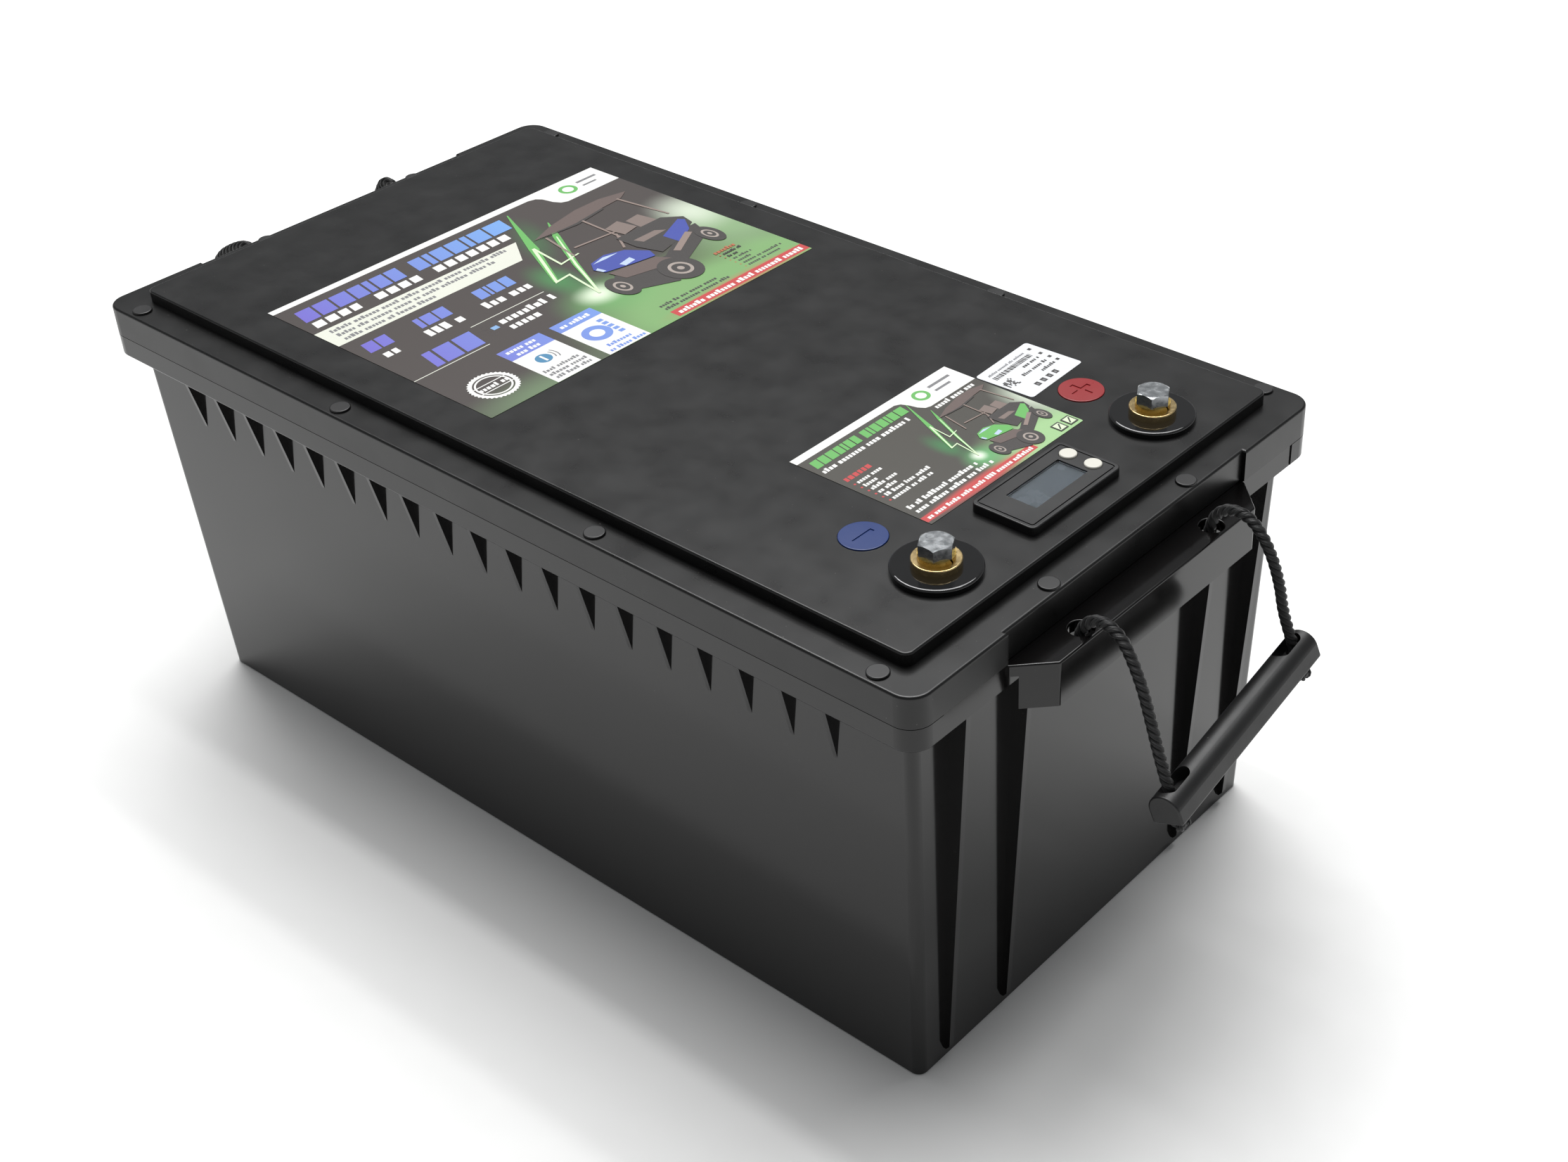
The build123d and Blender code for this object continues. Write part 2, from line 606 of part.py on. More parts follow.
def make_cell(x, y):
    """A prismatic cell: a can with two terminal pads, their studs and a vent."""
    body = Pos(x, y, CELL_BOTTOM_Z + CELL_SIZE[2] / 2) * Box(*CELL_SIZE)
    body = fillet(body.edges().filter_by(Axis.Z), 2.5)
    for side in (-1, 1):
        pad_y = y + side * PAD_HALF_Y
        body += slab((24.0, 20.0), 1.5, CELL_TOP_Z - 1, PAD_TOP_Z, (x, pad_y))
        body += disc(STUD_R, PAD_TOP_Z - 1, STUD_TOP_Z, (x, pad_y))
    return body + disc(8.0, CELL_TOP_Z - 1, CELL_TOP_Z + 0.6, (x, y))


def make_cell_row(side):
    """Seven cells side by side."""
    return group([make_cell(x, side * ROW_Y) for x in cell_xs()])


def make_cell_spacers():
    """Insulating sheets between the cells, and the long sheet between the rows."""
    sheets = []
    gap = CELL_PITCH - CELL_SIZE[0]
    for side in (-1, 1):
        for x in cell_xs()[:-1]:
            x0 = x + CELL_SIZE[0] / 2 + 0.1
            low = (x0, side * ROW_Y - 52, CELL_BOTTOM_Z)
            sheets.append(block(low, (x0 + gap - 0.2, side * ROW_Y + 52, CELL_TOP_Z - 2)))
    reach = CELLS_PER_ROW * CELL_PITCH / 2
    sheets.append(block((-reach, -0.8, CELL_BOTTOM_Z), (reach, 0.8, CELL_TOP_Z)))
    return group(sheets)


def make_base_pads():
    """Foam strips that the cells stand on."""
    reach = CELLS_PER_ROW * CELL_PITCH / 2
    ys = (-90.0, -22.0, 22.0, 90.0)
    return group([block((-reach, y - 12, FLOOR_T), (reach, y + 12, CELL_BOTTOM_Z)) for y in ys])


def make_end_plates():
    """An aluminium plate against each end of the stack."""
    face = CELLS_PER_ROW * CELL_PITCH / 2
    plate = slab((END_PLATE_T, 2 * (ROW_Y + 54)), 1.0, CELL_BOTTOM_Z, CELL_TOP_Z - 4, (face + END_PLATE_T / 2, 0))
    return group(both_ends(plate))


def make_bands():
    """Steel bands round the stack that hold it squeezed between the end plates."""
    reach_x = CELLS_PER_ROW * CELL_PITCH / 2 + END_PLATE_T
    reach_y = ROW_Y + CELL_SIZE[1] / 2 + 0.2
    bands = []
    for z in (50.0, 130.0):
        outer = slab((2 * reach_x + 1.6, 2 * reach_y + 1.6), 2.0, z, z + BAND_W)
        bands.append(outer - slab((2 * reach_x, 2 * reach_y), 1.2, z - 1, z + BAND_W + 1))
    return group(bands)


def link_ends():
    """The pair of studs that each series link joins, from the minus end of the pack to the plus end."""
    xs = cell_xs()[::-1]
    inner, outer = ROW_Y - PAD_HALF_Y, ROW_Y + PAD_HALF_Y
    ends = []
    for i in range(CELLS_PER_ROW - 1):
        y = -(outer if i % 2 else inner)
        ends.append(((xs[i], y), (xs[i + 1], y)))
    ends.append(((xs[-1], -inner), (xs[-1], inner)))
    for i in range(CELLS_PER_ROW - 1):
        y = inner if i % 2 else outer
        ends.append(((xs[-1 - i], y), (xs[-2 - i], y)))
    return ends


def make_busbars():
    """The copper links that put the fourteen cells in series."""
    links = []
    for (xa, ya), (xb, yb) in link_ends():
        middle = ((xa + xb) / 2, (ya + yb) / 2)
        size = (abs(xb - xa) + 18.0, abs(yb - ya) + 18.0)
        link = slab(size, 8.0, PAD_TOP_Z, PAD_TOP_Z + LINK_T, middle)
        for at in ((xa, ya), (xb, yb)):
            link -= disc(STUD_R + 0.1, PAD_TOP_Z - 1, PAD_TOP_Z + LINK_T + 1, at)
        links.append(link)
    return group(links)


def make_busbar_nuts():
    """The nut on every stud, on a link or on a cable lug."""
    ats = [(at, LINK_T) for pair in link_ends() for at in pair]
    ats += [((cell_xs()[-1], s * (ROW_Y + PAD_HALF_Y)), LUG_T) for s in (-1, 1)]
    nuts = []
    for at, under in ats:
        z0 = PAD_TOP_Z + under
        nuts.append(hexagon(10.0, z0, z0 + 5, at) - disc(STUD_R + 0.05, z0 - 1, z0 + 6, at))
    return group(nuts)


# ---- battery management board and wiring ----


def make_bms_tray():
    """The insulating tray that carries the board over the cells."""
    tray = slab([s + 8 for s in BMS_SIZE], 4.0, TRAY_Z, TRAY_Z + 2, BMS_AT)
    for dx in (-1, 1):
        for dy in (-1, 1):
            at = (BMS_AT[0] + dx * (BMS_SIZE[0] / 2 - 8), BMS_AT[1] + dy * (BMS_SIZE[1] / 2 - 8))
            tray += disc(4.0, TRAY_Z + 2, BOARD_Z, at)
    return tray


def make_bms_board():
    """The circuit board with its two copper posts, a row of transistors and two sockets."""
    board = slab(BMS_SIZE, 3.0, BOARD_Z, BOARD_Z + BOARD_T, BMS_AT)
    top = BOARD_Z + BOARD_T
    for y in POST_YS:
        board += disc(STUD_R, top - 0.5, top + 9, (POST_X, y))
    for i in range(10):
        x = -90.0 + 18.0 * i
        board += block((x, 44, top - 0.1), (x + 10, 58, top + 4.4))
    for y in (12.0, 36.0):
        board += block((108, y - 8, top - 0.1), (120, y + 8, top + 7))
    return board


def make_bms_heatsink():
    """A finned aluminium heat sink on the board."""
    top = BOARD_Z + BOARD_T
    base = block((-95, -50, top + 0.2), (85, 38, top + 3.2))
    for i in range(9):
        y = -48.0 + 10.4 * i
        base += block((-95, y, top + 3), (85, y + 2, top + 12))
    return base


def make_bms_screws():
    """A screw through each corner of the board."""
    top = BOARD_Z + BOARD_T
    screws = []
    for dx in (-1, 1):
        for dy in (-1, 1):
            at = (BMS_AT[0] + dx * (BMS_SIZE[0] / 2 - 8), BMS_AT[1] + dy * (BMS_SIZE[1] / 2 - 8))
            screws.append(disc(3.0, top, top + 2.2, at))
    return group(screws)


def make_lug(at, z, hole_r, pad_r, heading, barrel_z):
    """A ring lug: a flat pad with a hole, and a barrel that the cable enters."""
    barrel_from = pad_r - 1.0
    pad = slab((2 * pad_r, 2 * pad_r), pad_r - 0.5, 0, LUG_T)
    neck = Pos(pad_r / 2 + 1, 0, LUG_T / 2) * Box(pad_r + 2, 10, LUG_T)
    barrel = Pos(barrel_from, 0, barrel_z) * Rot(0, 90, 0) * Cylinder(LUG_BARREL_R, LUG_BARREL_L, align=(Align.CENTER, Align.CENTER, Align.MIN))
    lug = pad + neck + barrel - disc(hole_r, -8, 12, (0, 0))
    return Pos(at[0], at[1], z) * Rot(0, 0, heading) * lug


def lug_mouth(at, z, pad_r, heading, barrel_z):
    """The point in the middle of a lug's cable end."""
    reach = pad_r - 1.0 + LUG_BARREL_L
    turn = math.radians(heading)
    return (at[0] + reach * math.cos(turn), at[1] + reach * math.sin(turn), z + barrel_z)


CELL_LUG = {"z": PAD_TOP_Z, "pad_r": 9.0, "barrel_z": LUG_BARREL_R}
TERMINAL_LUG = {"z": PLATEAU_Z - LID_ROOF_T - 6.2 - LUG_T, "pad_r": 12.0, "barrel_z": LUG_T - LUG_BARREL_R}
POST_LUG = {"z": BOARD_Z + BOARD_T, "pad_r": 9.0, "barrel_z": LUG_BARREL_R}
OUTER_PAD = (CELL_PITCH * (CELLS_PER_ROW - 1) / 2, ROW_Y + PAD_HALF_Y)


def make_lead_lugs():
    """The six lugs on the three heavy leads."""
    x, y = OUTER_PAD
    return group(
        [
            make_lug((x, -y), hole_r=STUD_R + 0.1, heading=90, **CELL_LUG),
            make_lug((x, y), hole_r=STUD_R + 0.1, heading=180, **CELL_LUG),
            make_lug((POST_X, POST_YS[0]), hole_r=STUD_R + 0.1, heading=0, **POST_LUG),
            make_lug((POST_X, POST_YS[1]), hole_r=STUD_R + 0.1, heading=0, **POST_LUG),
            make_lug((TERMINAL_X, -TERMINAL_Y), hole_r=STEM_R + 0.1, heading=120, **TERMINAL_LUG),
            make_lug((TERMINAL_X, TERMINAL_Y), hole_r=STEM_R + 0.1, heading=180, **TERMINAL_LUG),
        ]
    )


def make_lead_cell_minus():
    """The heavy lead from the pack's minus end to the board."""
    start = lug_mouth((OUTER_PAD[0], -OUTER_PAD[1]), heading=90, **CELL_LUG)
    end = lug_mouth((POST_X, POST_YS[0]), heading=0, **POST_LUG)
    route = [start, (180.0, -56.0, start[2]), (169.0, -46.5, 193.0), (150.0, POST_YS[0], end[2]), end]
    return tube(route, LEAD_R, "lead_cell_minus")


def make_lead_minus():
    """The heavy lead from the board to the minus terminal."""
    start = lug_mouth((TERMINAL_X, -TERMINAL_Y), heading=120, **TERMINAL_LUG)
    end = lug_mouth((POST_X, POST_YS[1]), heading=0, **POST_LUG)
    route = [start, (start[0] - 5.5, start[1] + 9.53, start[2]), (173.0, -23.0, 201.5), (150.0, POST_YS[1], end[2]), end]
    return tube(route, LEAD_R, "lead_minus")


def make_lead_plus():
    """The heavy lead from the pack's plus end to the plus terminal."""
    start = lug_mouth(OUTER_PAD, heading=180, **CELL_LUG)
    end = lug_mouth((TERMINAL_X, TERMINAL_Y), heading=180, **TERMINAL_LUG)
    route = [start, (143.5, start[1], start[2]), (130.5, 87.0, 192.0), (132.5, 75.5, 199.5), (148.5, end[1], end[2]), end]
    return tube(route, LEAD_R, "lead_plus")


def make_sense_harness():
    """The loom of cell sense wires, along the middle of the pack and up to the board."""
    route = [(-166.0, 0.0, 182.8), (132.0, 0.0, 182.8), (149.0, 2.0, 189.0), (143.0, 12.0, 201.1), (120.2, 12.0, 201.1)]
    return tube(route, 2.8, "sense_harness")


def make_meter_cable():
    """The thin lead from the meter to the board."""
    route = [
        (206.0, -2.0, PLATEAU_Z - 10.7),
        (206.0, -2.0, 196.0),
        (196.0, 4.0, 190.5),
        (170.0, 23.0, 191.5),
        (146.0, 36.0, 201.1),
        (120.2, 36.0, 201.1),
    ]
    return tube(route, 2.0, "meter_cable")


# ---- rope handles ----


def place_grip(shape):
    """Puts a shape drawn about the grip's own centre, with its length along Y, where the grip hangs."""
    turn = Rot(0, 0, GRIP_YAW) * Rot(GRIP_TILT, 0, 0) * Rot(0, -GRIP_ROLL, 0)
    return Pos(*GRIP_CENTRE) * turn * shape


def make_grip():
    """The moulded grip: flat underneath, rounded on top, with a long mouth over each rope hole."""
    half_w, low, high = GRIP_W / 2, -GRIP_H / 2, GRIP_H / 2
    side_z = low + GRIP_SIDE_H
    profile = Polyline((-half_w, side_z), (-half_w, low), (half_w, low), (half_w, side_z))
    profile += ThreePointArc((half_w, side_z), (0, high), (-half_w, side_z))
    body = extrude(Plane.XZ * make_face(profile), amount=GRIP_LENGTH / 2, both=True)
    body = fillet(body.edges().group_by(Axis.Z)[0].filter_by(Axis.Y), 1.2)
    ends = body.faces().filter_by(Axis.Y)
    body = fillet(ends.edges(), 0.9)
    for side in (-1, 1):
        mouth = Pos(0, side * GRIP_SLOT_Y, high + 1) * Rot(0, 0, 90) * SlotOverall(*GRIP_SLOT)
        body -= extrude(mouth, amount=-(SLOT_DEPTH + 1))
        body -= disc(GRIP_SLOT[1] / 2, low - 1, high, (0, side * GRIP_HOLE_Y))
    return place_grip(body)


def knot_at(point, next_point):
    """A ball the size of the knot, just past a rope's end."""
    away = (Vector(*point) - Vector(*next_point)).normalized()
    centre = Vector(*point) + away * (KNOT_R + 0.05)
    return Pos(*centre) * Sphere(KNOT_R)


def make_bracket_knots():
    """The knot under the bracket on each of the four ropes."""
    front = [knot_at(route[0], route[1]) for route in (ROPE_NEAR, ROPE_FAR)]
    rear = [knot_at(route[0], route[1]) for route in (REAR_ROPE_FAR, REAR_ROPE_NEAR)]
    return group(front + [other_end(k) for k in rear])


def make_grip_knots():
    """The knot under the grip on each of a handle's two ropes."""
    return group([knot_at(route[-1], route[-2]) for route in (ROPE_NEAR, ROPE_FAR)])


def build():
    """Every node of the battery by name."""
    minus_at, plus_at = (TERMINAL_X, -TERMINAL_Y), (TERMINAL_X, TERMINAL_Y)
    grip = make_grip()
    grip_knots = make_grip_knots()
    return {
        "case": make_case(),
        "lid": make_lid(),
        "lid_seal": seal_ring(SEAL_W, RIM_TOP_Z - SEAL_GROOVE_DEPTH, LID_BOTTOM_Z),
        "lid_screws": make_lid_screws(),
        "screw_caps": make_screw_caps(),
        "terminal_boss_minus": make_terminal_boss(minus_at),
        "terminal_boss_plus": make_terminal_boss(plus_at),
        "terminal_minus": make_terminal(minus_at),
        "terminal_plus": make_terminal(plus_at),
        "terminal_seals": make_terminal_seals(),
        "terminal_nuts": make_terminal_nuts(),
        "spring_washer_minus": make_spring_washer(minus_at),
        "spring_washer_plus": make_spring_washer(plus_at),
        "bolt_minus": make_bolt(minus_at),
        "bolt_plus": make_bolt(plus_at),
        "polarity_disc_minus": make_polarity_disc(-1),
        "polarity_disc_plus": make_polarity_disc(1),
        "meter_bezel": make_meter_bezel(),
        "meter_window": make_meter_window(),
        "meter_display": make_meter_display(),
        "meter_board": make_meter_board(),
        "meter_button_inner": make_meter_button(BUTTON_XS[0]),
        "meter_button_outer": make_meter_button(BUTTON_XS[1]),
        "meter_cable": make_meter_cable(),
        "main_label": make_label(MAIN_LABEL),
        "safety_label": make_label(SAFETY_LABEL),
        "serial_label": make_serial_label(),
        "cell_row_minus": make_cell_row(-1),
        "cell_row_plus": make_cell_row(1),
        "cell_spacers": make_cell_spacers(),
        "base_pads": make_base_pads(),
        "end_plates": make_end_plates(),
        "compression_bands": make_bands(),
        "busbars": make_busbars(),
        "busbar_nuts": make_busbar_nuts(),
        "bms_tray": make_bms_tray(),
        "bms_board": make_bms_board(),
        "bms_heatsink": make_bms_heatsink(),
        "bms_screws": make_bms_screws(),
        "lead_lugs": make_lead_lugs(),
        "lead_cell_minus": make_lead_cell_minus(),
        "lead_minus": make_lead_minus(),
        "lead_plus": make_lead_plus(),
        "sense_harness": make_sense_harness(),
        "bracket_knots": make_bracket_knots(),
        "front_rope_near": tube(ROPE_NEAR, ROPE_R, "front rope near"),
        "front_rope_far": tube(ROPE_FAR, ROPE_R, "front rope far"),
        "front_grip": grip,
        "front_grip_knots": grip_knots,
        "rear_rope_near": other_end(tube(REAR_ROPE_NEAR, ROPE_R, "rear rope near")),
        "rear_rope_far": other_end(tube(REAR_ROPE_FAR, ROPE_R, "rear rope far")),
        "rear_grip": other_end(grip),
        "rear_grip_knots": other_end(grip_knots),
    }


def main():
    """Writes one STEP file for each node."""
    os.makedirs("parts", exist_ok=True)
    for name, shape in build().items():
        shape.label = name
        export_step(shape, f"parts/{name}.step")


main()
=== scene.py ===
"""The finished look of a deep cycle lithium battery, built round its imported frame."""

import logging
import math
import random
from collections.abc import Iterable, Sequence
from dataclasses import dataclass, field
from enum import Enum

import bpy
from mathutils import Matrix, Vector


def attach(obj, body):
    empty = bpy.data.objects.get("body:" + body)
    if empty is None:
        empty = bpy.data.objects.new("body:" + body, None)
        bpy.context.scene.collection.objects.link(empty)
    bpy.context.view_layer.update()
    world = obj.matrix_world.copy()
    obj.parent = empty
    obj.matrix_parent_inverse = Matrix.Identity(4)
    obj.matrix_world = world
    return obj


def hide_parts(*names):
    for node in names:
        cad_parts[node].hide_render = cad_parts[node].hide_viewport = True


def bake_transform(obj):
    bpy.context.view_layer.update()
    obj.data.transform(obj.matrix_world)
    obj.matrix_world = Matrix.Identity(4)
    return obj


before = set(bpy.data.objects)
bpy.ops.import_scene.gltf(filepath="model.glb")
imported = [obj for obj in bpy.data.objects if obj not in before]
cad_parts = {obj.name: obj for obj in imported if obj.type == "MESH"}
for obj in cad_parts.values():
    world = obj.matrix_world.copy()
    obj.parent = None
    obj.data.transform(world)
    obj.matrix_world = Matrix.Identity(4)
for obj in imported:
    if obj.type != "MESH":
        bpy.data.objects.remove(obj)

LOG = logging.getLogger("battery")
MM = 0.001
Point = tuple[float, float]
Place = tuple[float, float, float]
Socket = bpy.types.NodeSocket


# ---- small helpers ----


def linear(code: str, alpha: float = 1.0) -> tuple[float, float, float, float]:
    """Turns an sRGB hex value into a linear colour.

    Args:
        code: The colour as "#rrggbb".
        alpha: The fourth number of the colour.

    Returns:
        The linear red, green, blue and alpha.
    """
    parts = [int(code[i : i + 2], 16) / 255 for i in (1, 3, 5)]
    red, green, blue = [c / 12.92 if c <= 0.04045 else ((c + 0.055) / 1.055) ** 2.4 for c in parts]
    return red, green, blue, alpha


def per_mm(size: float) -> float:
    """Gives the texture scale whose features are size millimetres across."""
    return 1.0 / (size * MM)


def add(tree: bpy.types.NodeTree, kind: str, inputs: dict, **settings: object) -> bpy.types.Node:
    """Adds a node with its settings and links.

    Args:
        tree: The node tree to add to.
        kind: The node's type name.
        inputs: Socket name or number to a value, or to the socket that feeds it.
        settings: The node's own settings.

    Returns:
        The new node.
    """
    made = tree.nodes.new(kind)
    for name, value in settings.items():
        setattr(made, name, value)
    for name, value in inputs.items():
        if isinstance(value, bpy.types.NodeSocket):
            tree.links.new(value, made.inputs[name])
        else:
            made.inputs[name].default_value = value
    return made


def start_material(name: str, **sockets: object) -> tuple[bpy.types.Material, bpy.types.NodeTree, bpy.types.Node]:
    """Starts a material from its Principled shader.

    Args:
        name: The material's name.
        sockets: Values for the shader's sockets, with _ for a space.

    Returns:
        The material, its node tree and its shader.
    """
    material = bpy.data.materials.new(name)
    material.use_nodes = True
    tree = material.node_tree
    shader = tree.nodes["Principled BSDF"]
    for socket, value in sockets.items():
        shader.inputs[socket.replace("_", " ")].default_value = value
    return material, tree, shader


def noise(tree: bpy.types.NodeTree, place: Socket, size: float, detail: float = 2.0) -> Socket:
    """Gives a noise whose features are size millimetres across."""
    return add(tree, "ShaderNodeTexNoise", {"Vector": place, "Scale": per_mm(size), "Detail": detail}).outputs["Fac"]


def ranged(tree: bpy.types.NodeTree, value: Socket, low: float, high: float, to_low: float, to_high: float) -> Socket:
    """Takes a value from one range to another."""
    inputs = {"Value": value, "From Min": low, "From Max": high, "To Min": to_low, "To Max": to_high}
    return add(tree, "ShaderNodeMapRange", inputs).outputs["Result"]


def mixed(tree: bpy.types.NodeTree, share: Socket, under: object, over: object) -> Socket:
    """Mixes two colours by a share, each a socket or a linear colour."""
    return add(tree, "ShaderNodeMix", {0: share, 6: under, 7: over}, data_type="RGBA").outputs[2]


def bumped(tree: bpy.types.NodeTree, shader: bpy.types.Node, layers: Sequence[tuple[Socket, float]]) -> None:
    """Stacks bump layers on a shader.

    Args:
        tree: The material's node tree.
        shader: The shader that gets the bumps.
        layers: A height socket and its depth in millimetres, for each layer.
    """
    normal = None
    for height, depth in layers:
        inputs = {"Height": height, "Distance": depth * MM, "Strength": 1.0}
        if normal is not None:
            inputs["Normal"] = normal
        normal = add(tree, "ShaderNodeBump", inputs).outputs["Normal"]
    if normal is not None:
        tree.links.new(normal, shader.inputs["Normal"])


def dress(name: str, material: bpy.types.Material) -> None:
    """Gives a CAD node a material."""
    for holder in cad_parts[name].material_slots:
        holder.material = material
    LOG.info("dressed %s in %s", name, material.name)


def deselect() -> None:
    """Leaves nothing selected."""
    for other in list(bpy.context.selected_objects):
        other.select_set(False)


def take(thing: bpy.types.Object) -> None:
    """Makes one object the only one selected, and active."""
    deselect()
    thing.select_set(True)
    bpy.context.view_layer.objects.active = thing


def settle(thing: bpy.types.Object, material: bpy.types.Material, body: str | None) -> bpy.types.Object:
    """Puts a finished piece's place into its mesh, and gives it its material, slot and body.

    Args:
        thing: The piece, a mesh.
        material: Its finish.
        body: The CAD body that it rides on, or None for a piece that rides on no body.

    Returns:
        The piece.
    """
    thing.data.transform(thing.matrix_world)
    thing.matrix_world = Matrix.Identity(4)
    thing.data.materials.clear()
    thing.data.materials.append(material)
    if body is not None:
        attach(thing, body)
    LOG.info("made %s", thing.name)
    return thing


# ---- finishes ----


@dataclass(frozen=True)
class MouldedPlastic:
    """An injection moulded plastic: a little tone, a fine moulded texture and a slow waviness from cooling."""

    name: str
    colour: str
    tone: str
    roughness: float
    grain_mm: float = 0.9
    grain_depth: float = 0.004
    wave_mm: float = 60.0
    wave_depth: float = 0.0
    dust: float = 0.0
    coat: float = 0.0
    ior: float = 1.53

    def build(self) -> bpy.types.Material:
        """Makes the material."""
        material, tree, shader = start_material(self.name, IOR=self.ior, Coat_Weight=self.coat, Coat_Roughness=0.04)
        place = add(tree, "ShaderNodeTexCoord", {}).outputs["Object"]
        colour = mixed(tree, noise(tree, place, 35.0, 4.0), linear(self.colour), linear(self.tone))
        if self.dust:
            share = ranged(tree, noise(tree, place, 1.1, 1.0), 0.78, 0.84, 0.0, self.dust)
            colour = mixed(tree, share, colour, linear("#b9b6ae"))
        tree.links.new(colour, shader.inputs["Base Color"])
        sheen = noise(tree, place, 18.0, 5.0)
        rough = ranged(tree, sheen, 0.3, 0.7, self.roughness * 0.88, self.roughness * 1.14)
        tree.links.new(rough, shader.inputs["Roughness"])
        layers = []
        if self.wave_depth:
            layers.append((noise(tree, place, self.wave_mm, 0.0), self.wave_depth))
        layers.append((noise(tree, place, self.grain_mm, 3.0), self.grain_depth))
        bumped(tree, shader, layers)
        return material


@dataclass(frozen=True)
class WorkedMetal:
    """A metal part: rolled or plated all over, or turned about an upright axis."""

    name: str
    colour: str
    tone: str
    roughness: float
    turned_about: Point | None = None
    groove_mm: float = 0.35
    depth: float = 0.006

    def build(self) -> bpy.types.Material:
        """Makes the material."""
        material, tree, shader = start_material(self.name, Metallic=1.0)
        place = add(tree, "ShaderNodeTexCoord", {}).outputs["Object"]
        height = noise(tree, place, 2.2, 5.0)
        tree.links.new(mixed(tree, height, linear(self.colour), linear(self.tone)), shader.inputs["Base Color"])
        rough = ranged(tree, height, 0.3, 0.7, self.roughness * 0.75, self.roughness * 1.3)
        tree.links.new(rough, shader.inputs["Roughness"])
        if self.turned_about is not None:
            x, y = self.turned_about
            centred = add(tree, "ShaderNodeMapping", {"Vector": place, "Location": (-x * MM, -y * MM, 0.0)})
            grooves = add(
                tree,
                "ShaderNodeTexWave",
                {"Vector": centred.outputs["Vector"], "Scale": per_mm(self.groove_mm) / 20.0, "Distortion": 0.4},
                wave_type="RINGS",
                rings_direction="Z",
            )
            height = grooves.outputs["Fac"]
        bumped(tree, shader, [(height, self.depth)])
        return material


@dataclass(frozen=True)
class TwistedYarn:
    """Black polypropylene yarn: the fibres of each strand run nearly along the rope."""

    name: str
    colour: str
    tone: str

    def build(self) -> bpy.types.Material:
        """Makes the material."""
        material, tree, shader = start_material(self.name, IOR=1.49, Sheen_Weight=0.15, Sheen_Roughness=0.4)
        along = add(tree, "ShaderNodeUVMap", {}, uv_map="lay").outputs["UV"]
        # The strand's own map counts turns across and millimetres along; fibres 0.25 mm wide.
        spread = {"Vector": along, "Rotation": (0.0, 0.0, 0.24), "Scale": (5.0, 0.16, 1.0)}
        turned = add(tree, "ShaderNodeMapping", spread)
        fibres = add(
            tree,
            "ShaderNodeTexWave",
            {"Vector": turned.outputs["Vector"], "Scale": 1.0, "Distortion": 1.6, "Detail": 2.0, "Detail Scale": 1.5},
            wave_type="BANDS",
            bands_direction="X",
        ).outputs["Fac"]
        tree.links.new(mixed(tree, fibres, linear(self.colour), linear(self.tone)), shader.inputs["Base Color"])
        tree.links.new(ranged(tree, fibres, 0.0, 1.0, 0.5, 0.32), shader.inputs["Roughness"])
        bumped(tree, shader, [(fibres, 0.12)])
        return material


@dataclass(frozen=True)
class Glow:
    """A soft spot of colour in a printed ground, as an ellipse about a point of the label."""

    centre: Point
    radii: Point
    colour: str
    strength: float = 1.0
    turn_deg: float = 0.0
    inner: float = 0.0


@dataclass(frozen=True)
class PrintedGround:
    """Printed vinyl under a gloss laminate: one colour with soft spots of others over it."""

    name: str
    colour: str
    glows: tuple[Glow, ...]
    corner: Point

    def build(self) -> bpy.types.Material:
        """Makes the material."""
        material, tree, shader = start_material(
            self.name, IOR=1.5, Coat_Weight=0.6, Coat_Roughness=0.12, Roughness=0.38
        )
        place = add(tree, "ShaderNodeTexCoord", {}).outputs["Object"]
        colour: object = linear(self.colour)
        for glow in self.glows:
            x = (self.corner[0] - glow.centre[1]) * MM
            y = (self.corner[1] + glow.centre[0]) * MM
            near = add(
                tree,
                "ShaderNodeMapping",
                {
                    "Vector": place,
                    "Location": (x, y, 0.0),
                    "Rotation": (0.0, 0.0, math.radians(glow.turn_deg)),
                    "Scale": (glow.radii[1] * MM, glow.radii[0] * MM, 1e6),
                },
                vector_type="TEXTURE",
            )
            far = add(tree, "ShaderNodeVectorMath", {0: near.outputs["Vector"]}, operation="LENGTH")
            share = add(
                tree,
                "ShaderNodeMapRange",
                {"Value": far.outputs["Value"], "From Min": glow.inner, "To Min": glow.strength, "To Max": 0.0},
                interpolation_type="SMOOTHSTEP",
            )
            colour = mixed(tree, share.outputs["Result"], colour, linear(glow.colour))
        tree.links.new(colour, shader.inputs["Base Color"])
        bumped(tree, shader, [(noise(tree, place, 14.0, 1.0), 0.03)])
        return material


@dataclass(frozen=True)
class Ink:
    """One printed colour, or a colour that runs into another along the label."""

    name: str
    colour: str
    end_colour: str | None = None
    run: Point = (0.0, 0.2)

    def build(self) -> bpy.types.Material:
        """Makes the material."""
        material, tree, shader = start_material(self.name, IOR=1.5, Coat_Weight=0.5, Coat_Roughness=0.12, Roughness=0.4)
        place = add(tree, "ShaderNodeTexCoord", {}).outputs["Object"]
        if self.end_colour is None:
            share = ranged(tree, noise(tree, place, 0.8), 0.0, 1.0, 0.0, 0.12)
            other = "#7a7a78"
        else:
            across = add(tree, "ShaderNodeSeparateXYZ", {"Vector": place}).outputs["Y"]
            share = ranged(tree, across, *self.run, 0.0, 1.0)
            other = self.end_colour
        tree.links.new(mixed(tree, share, linear(self.colour), linear(other)), shader.inputs["Base Color"])
        return material


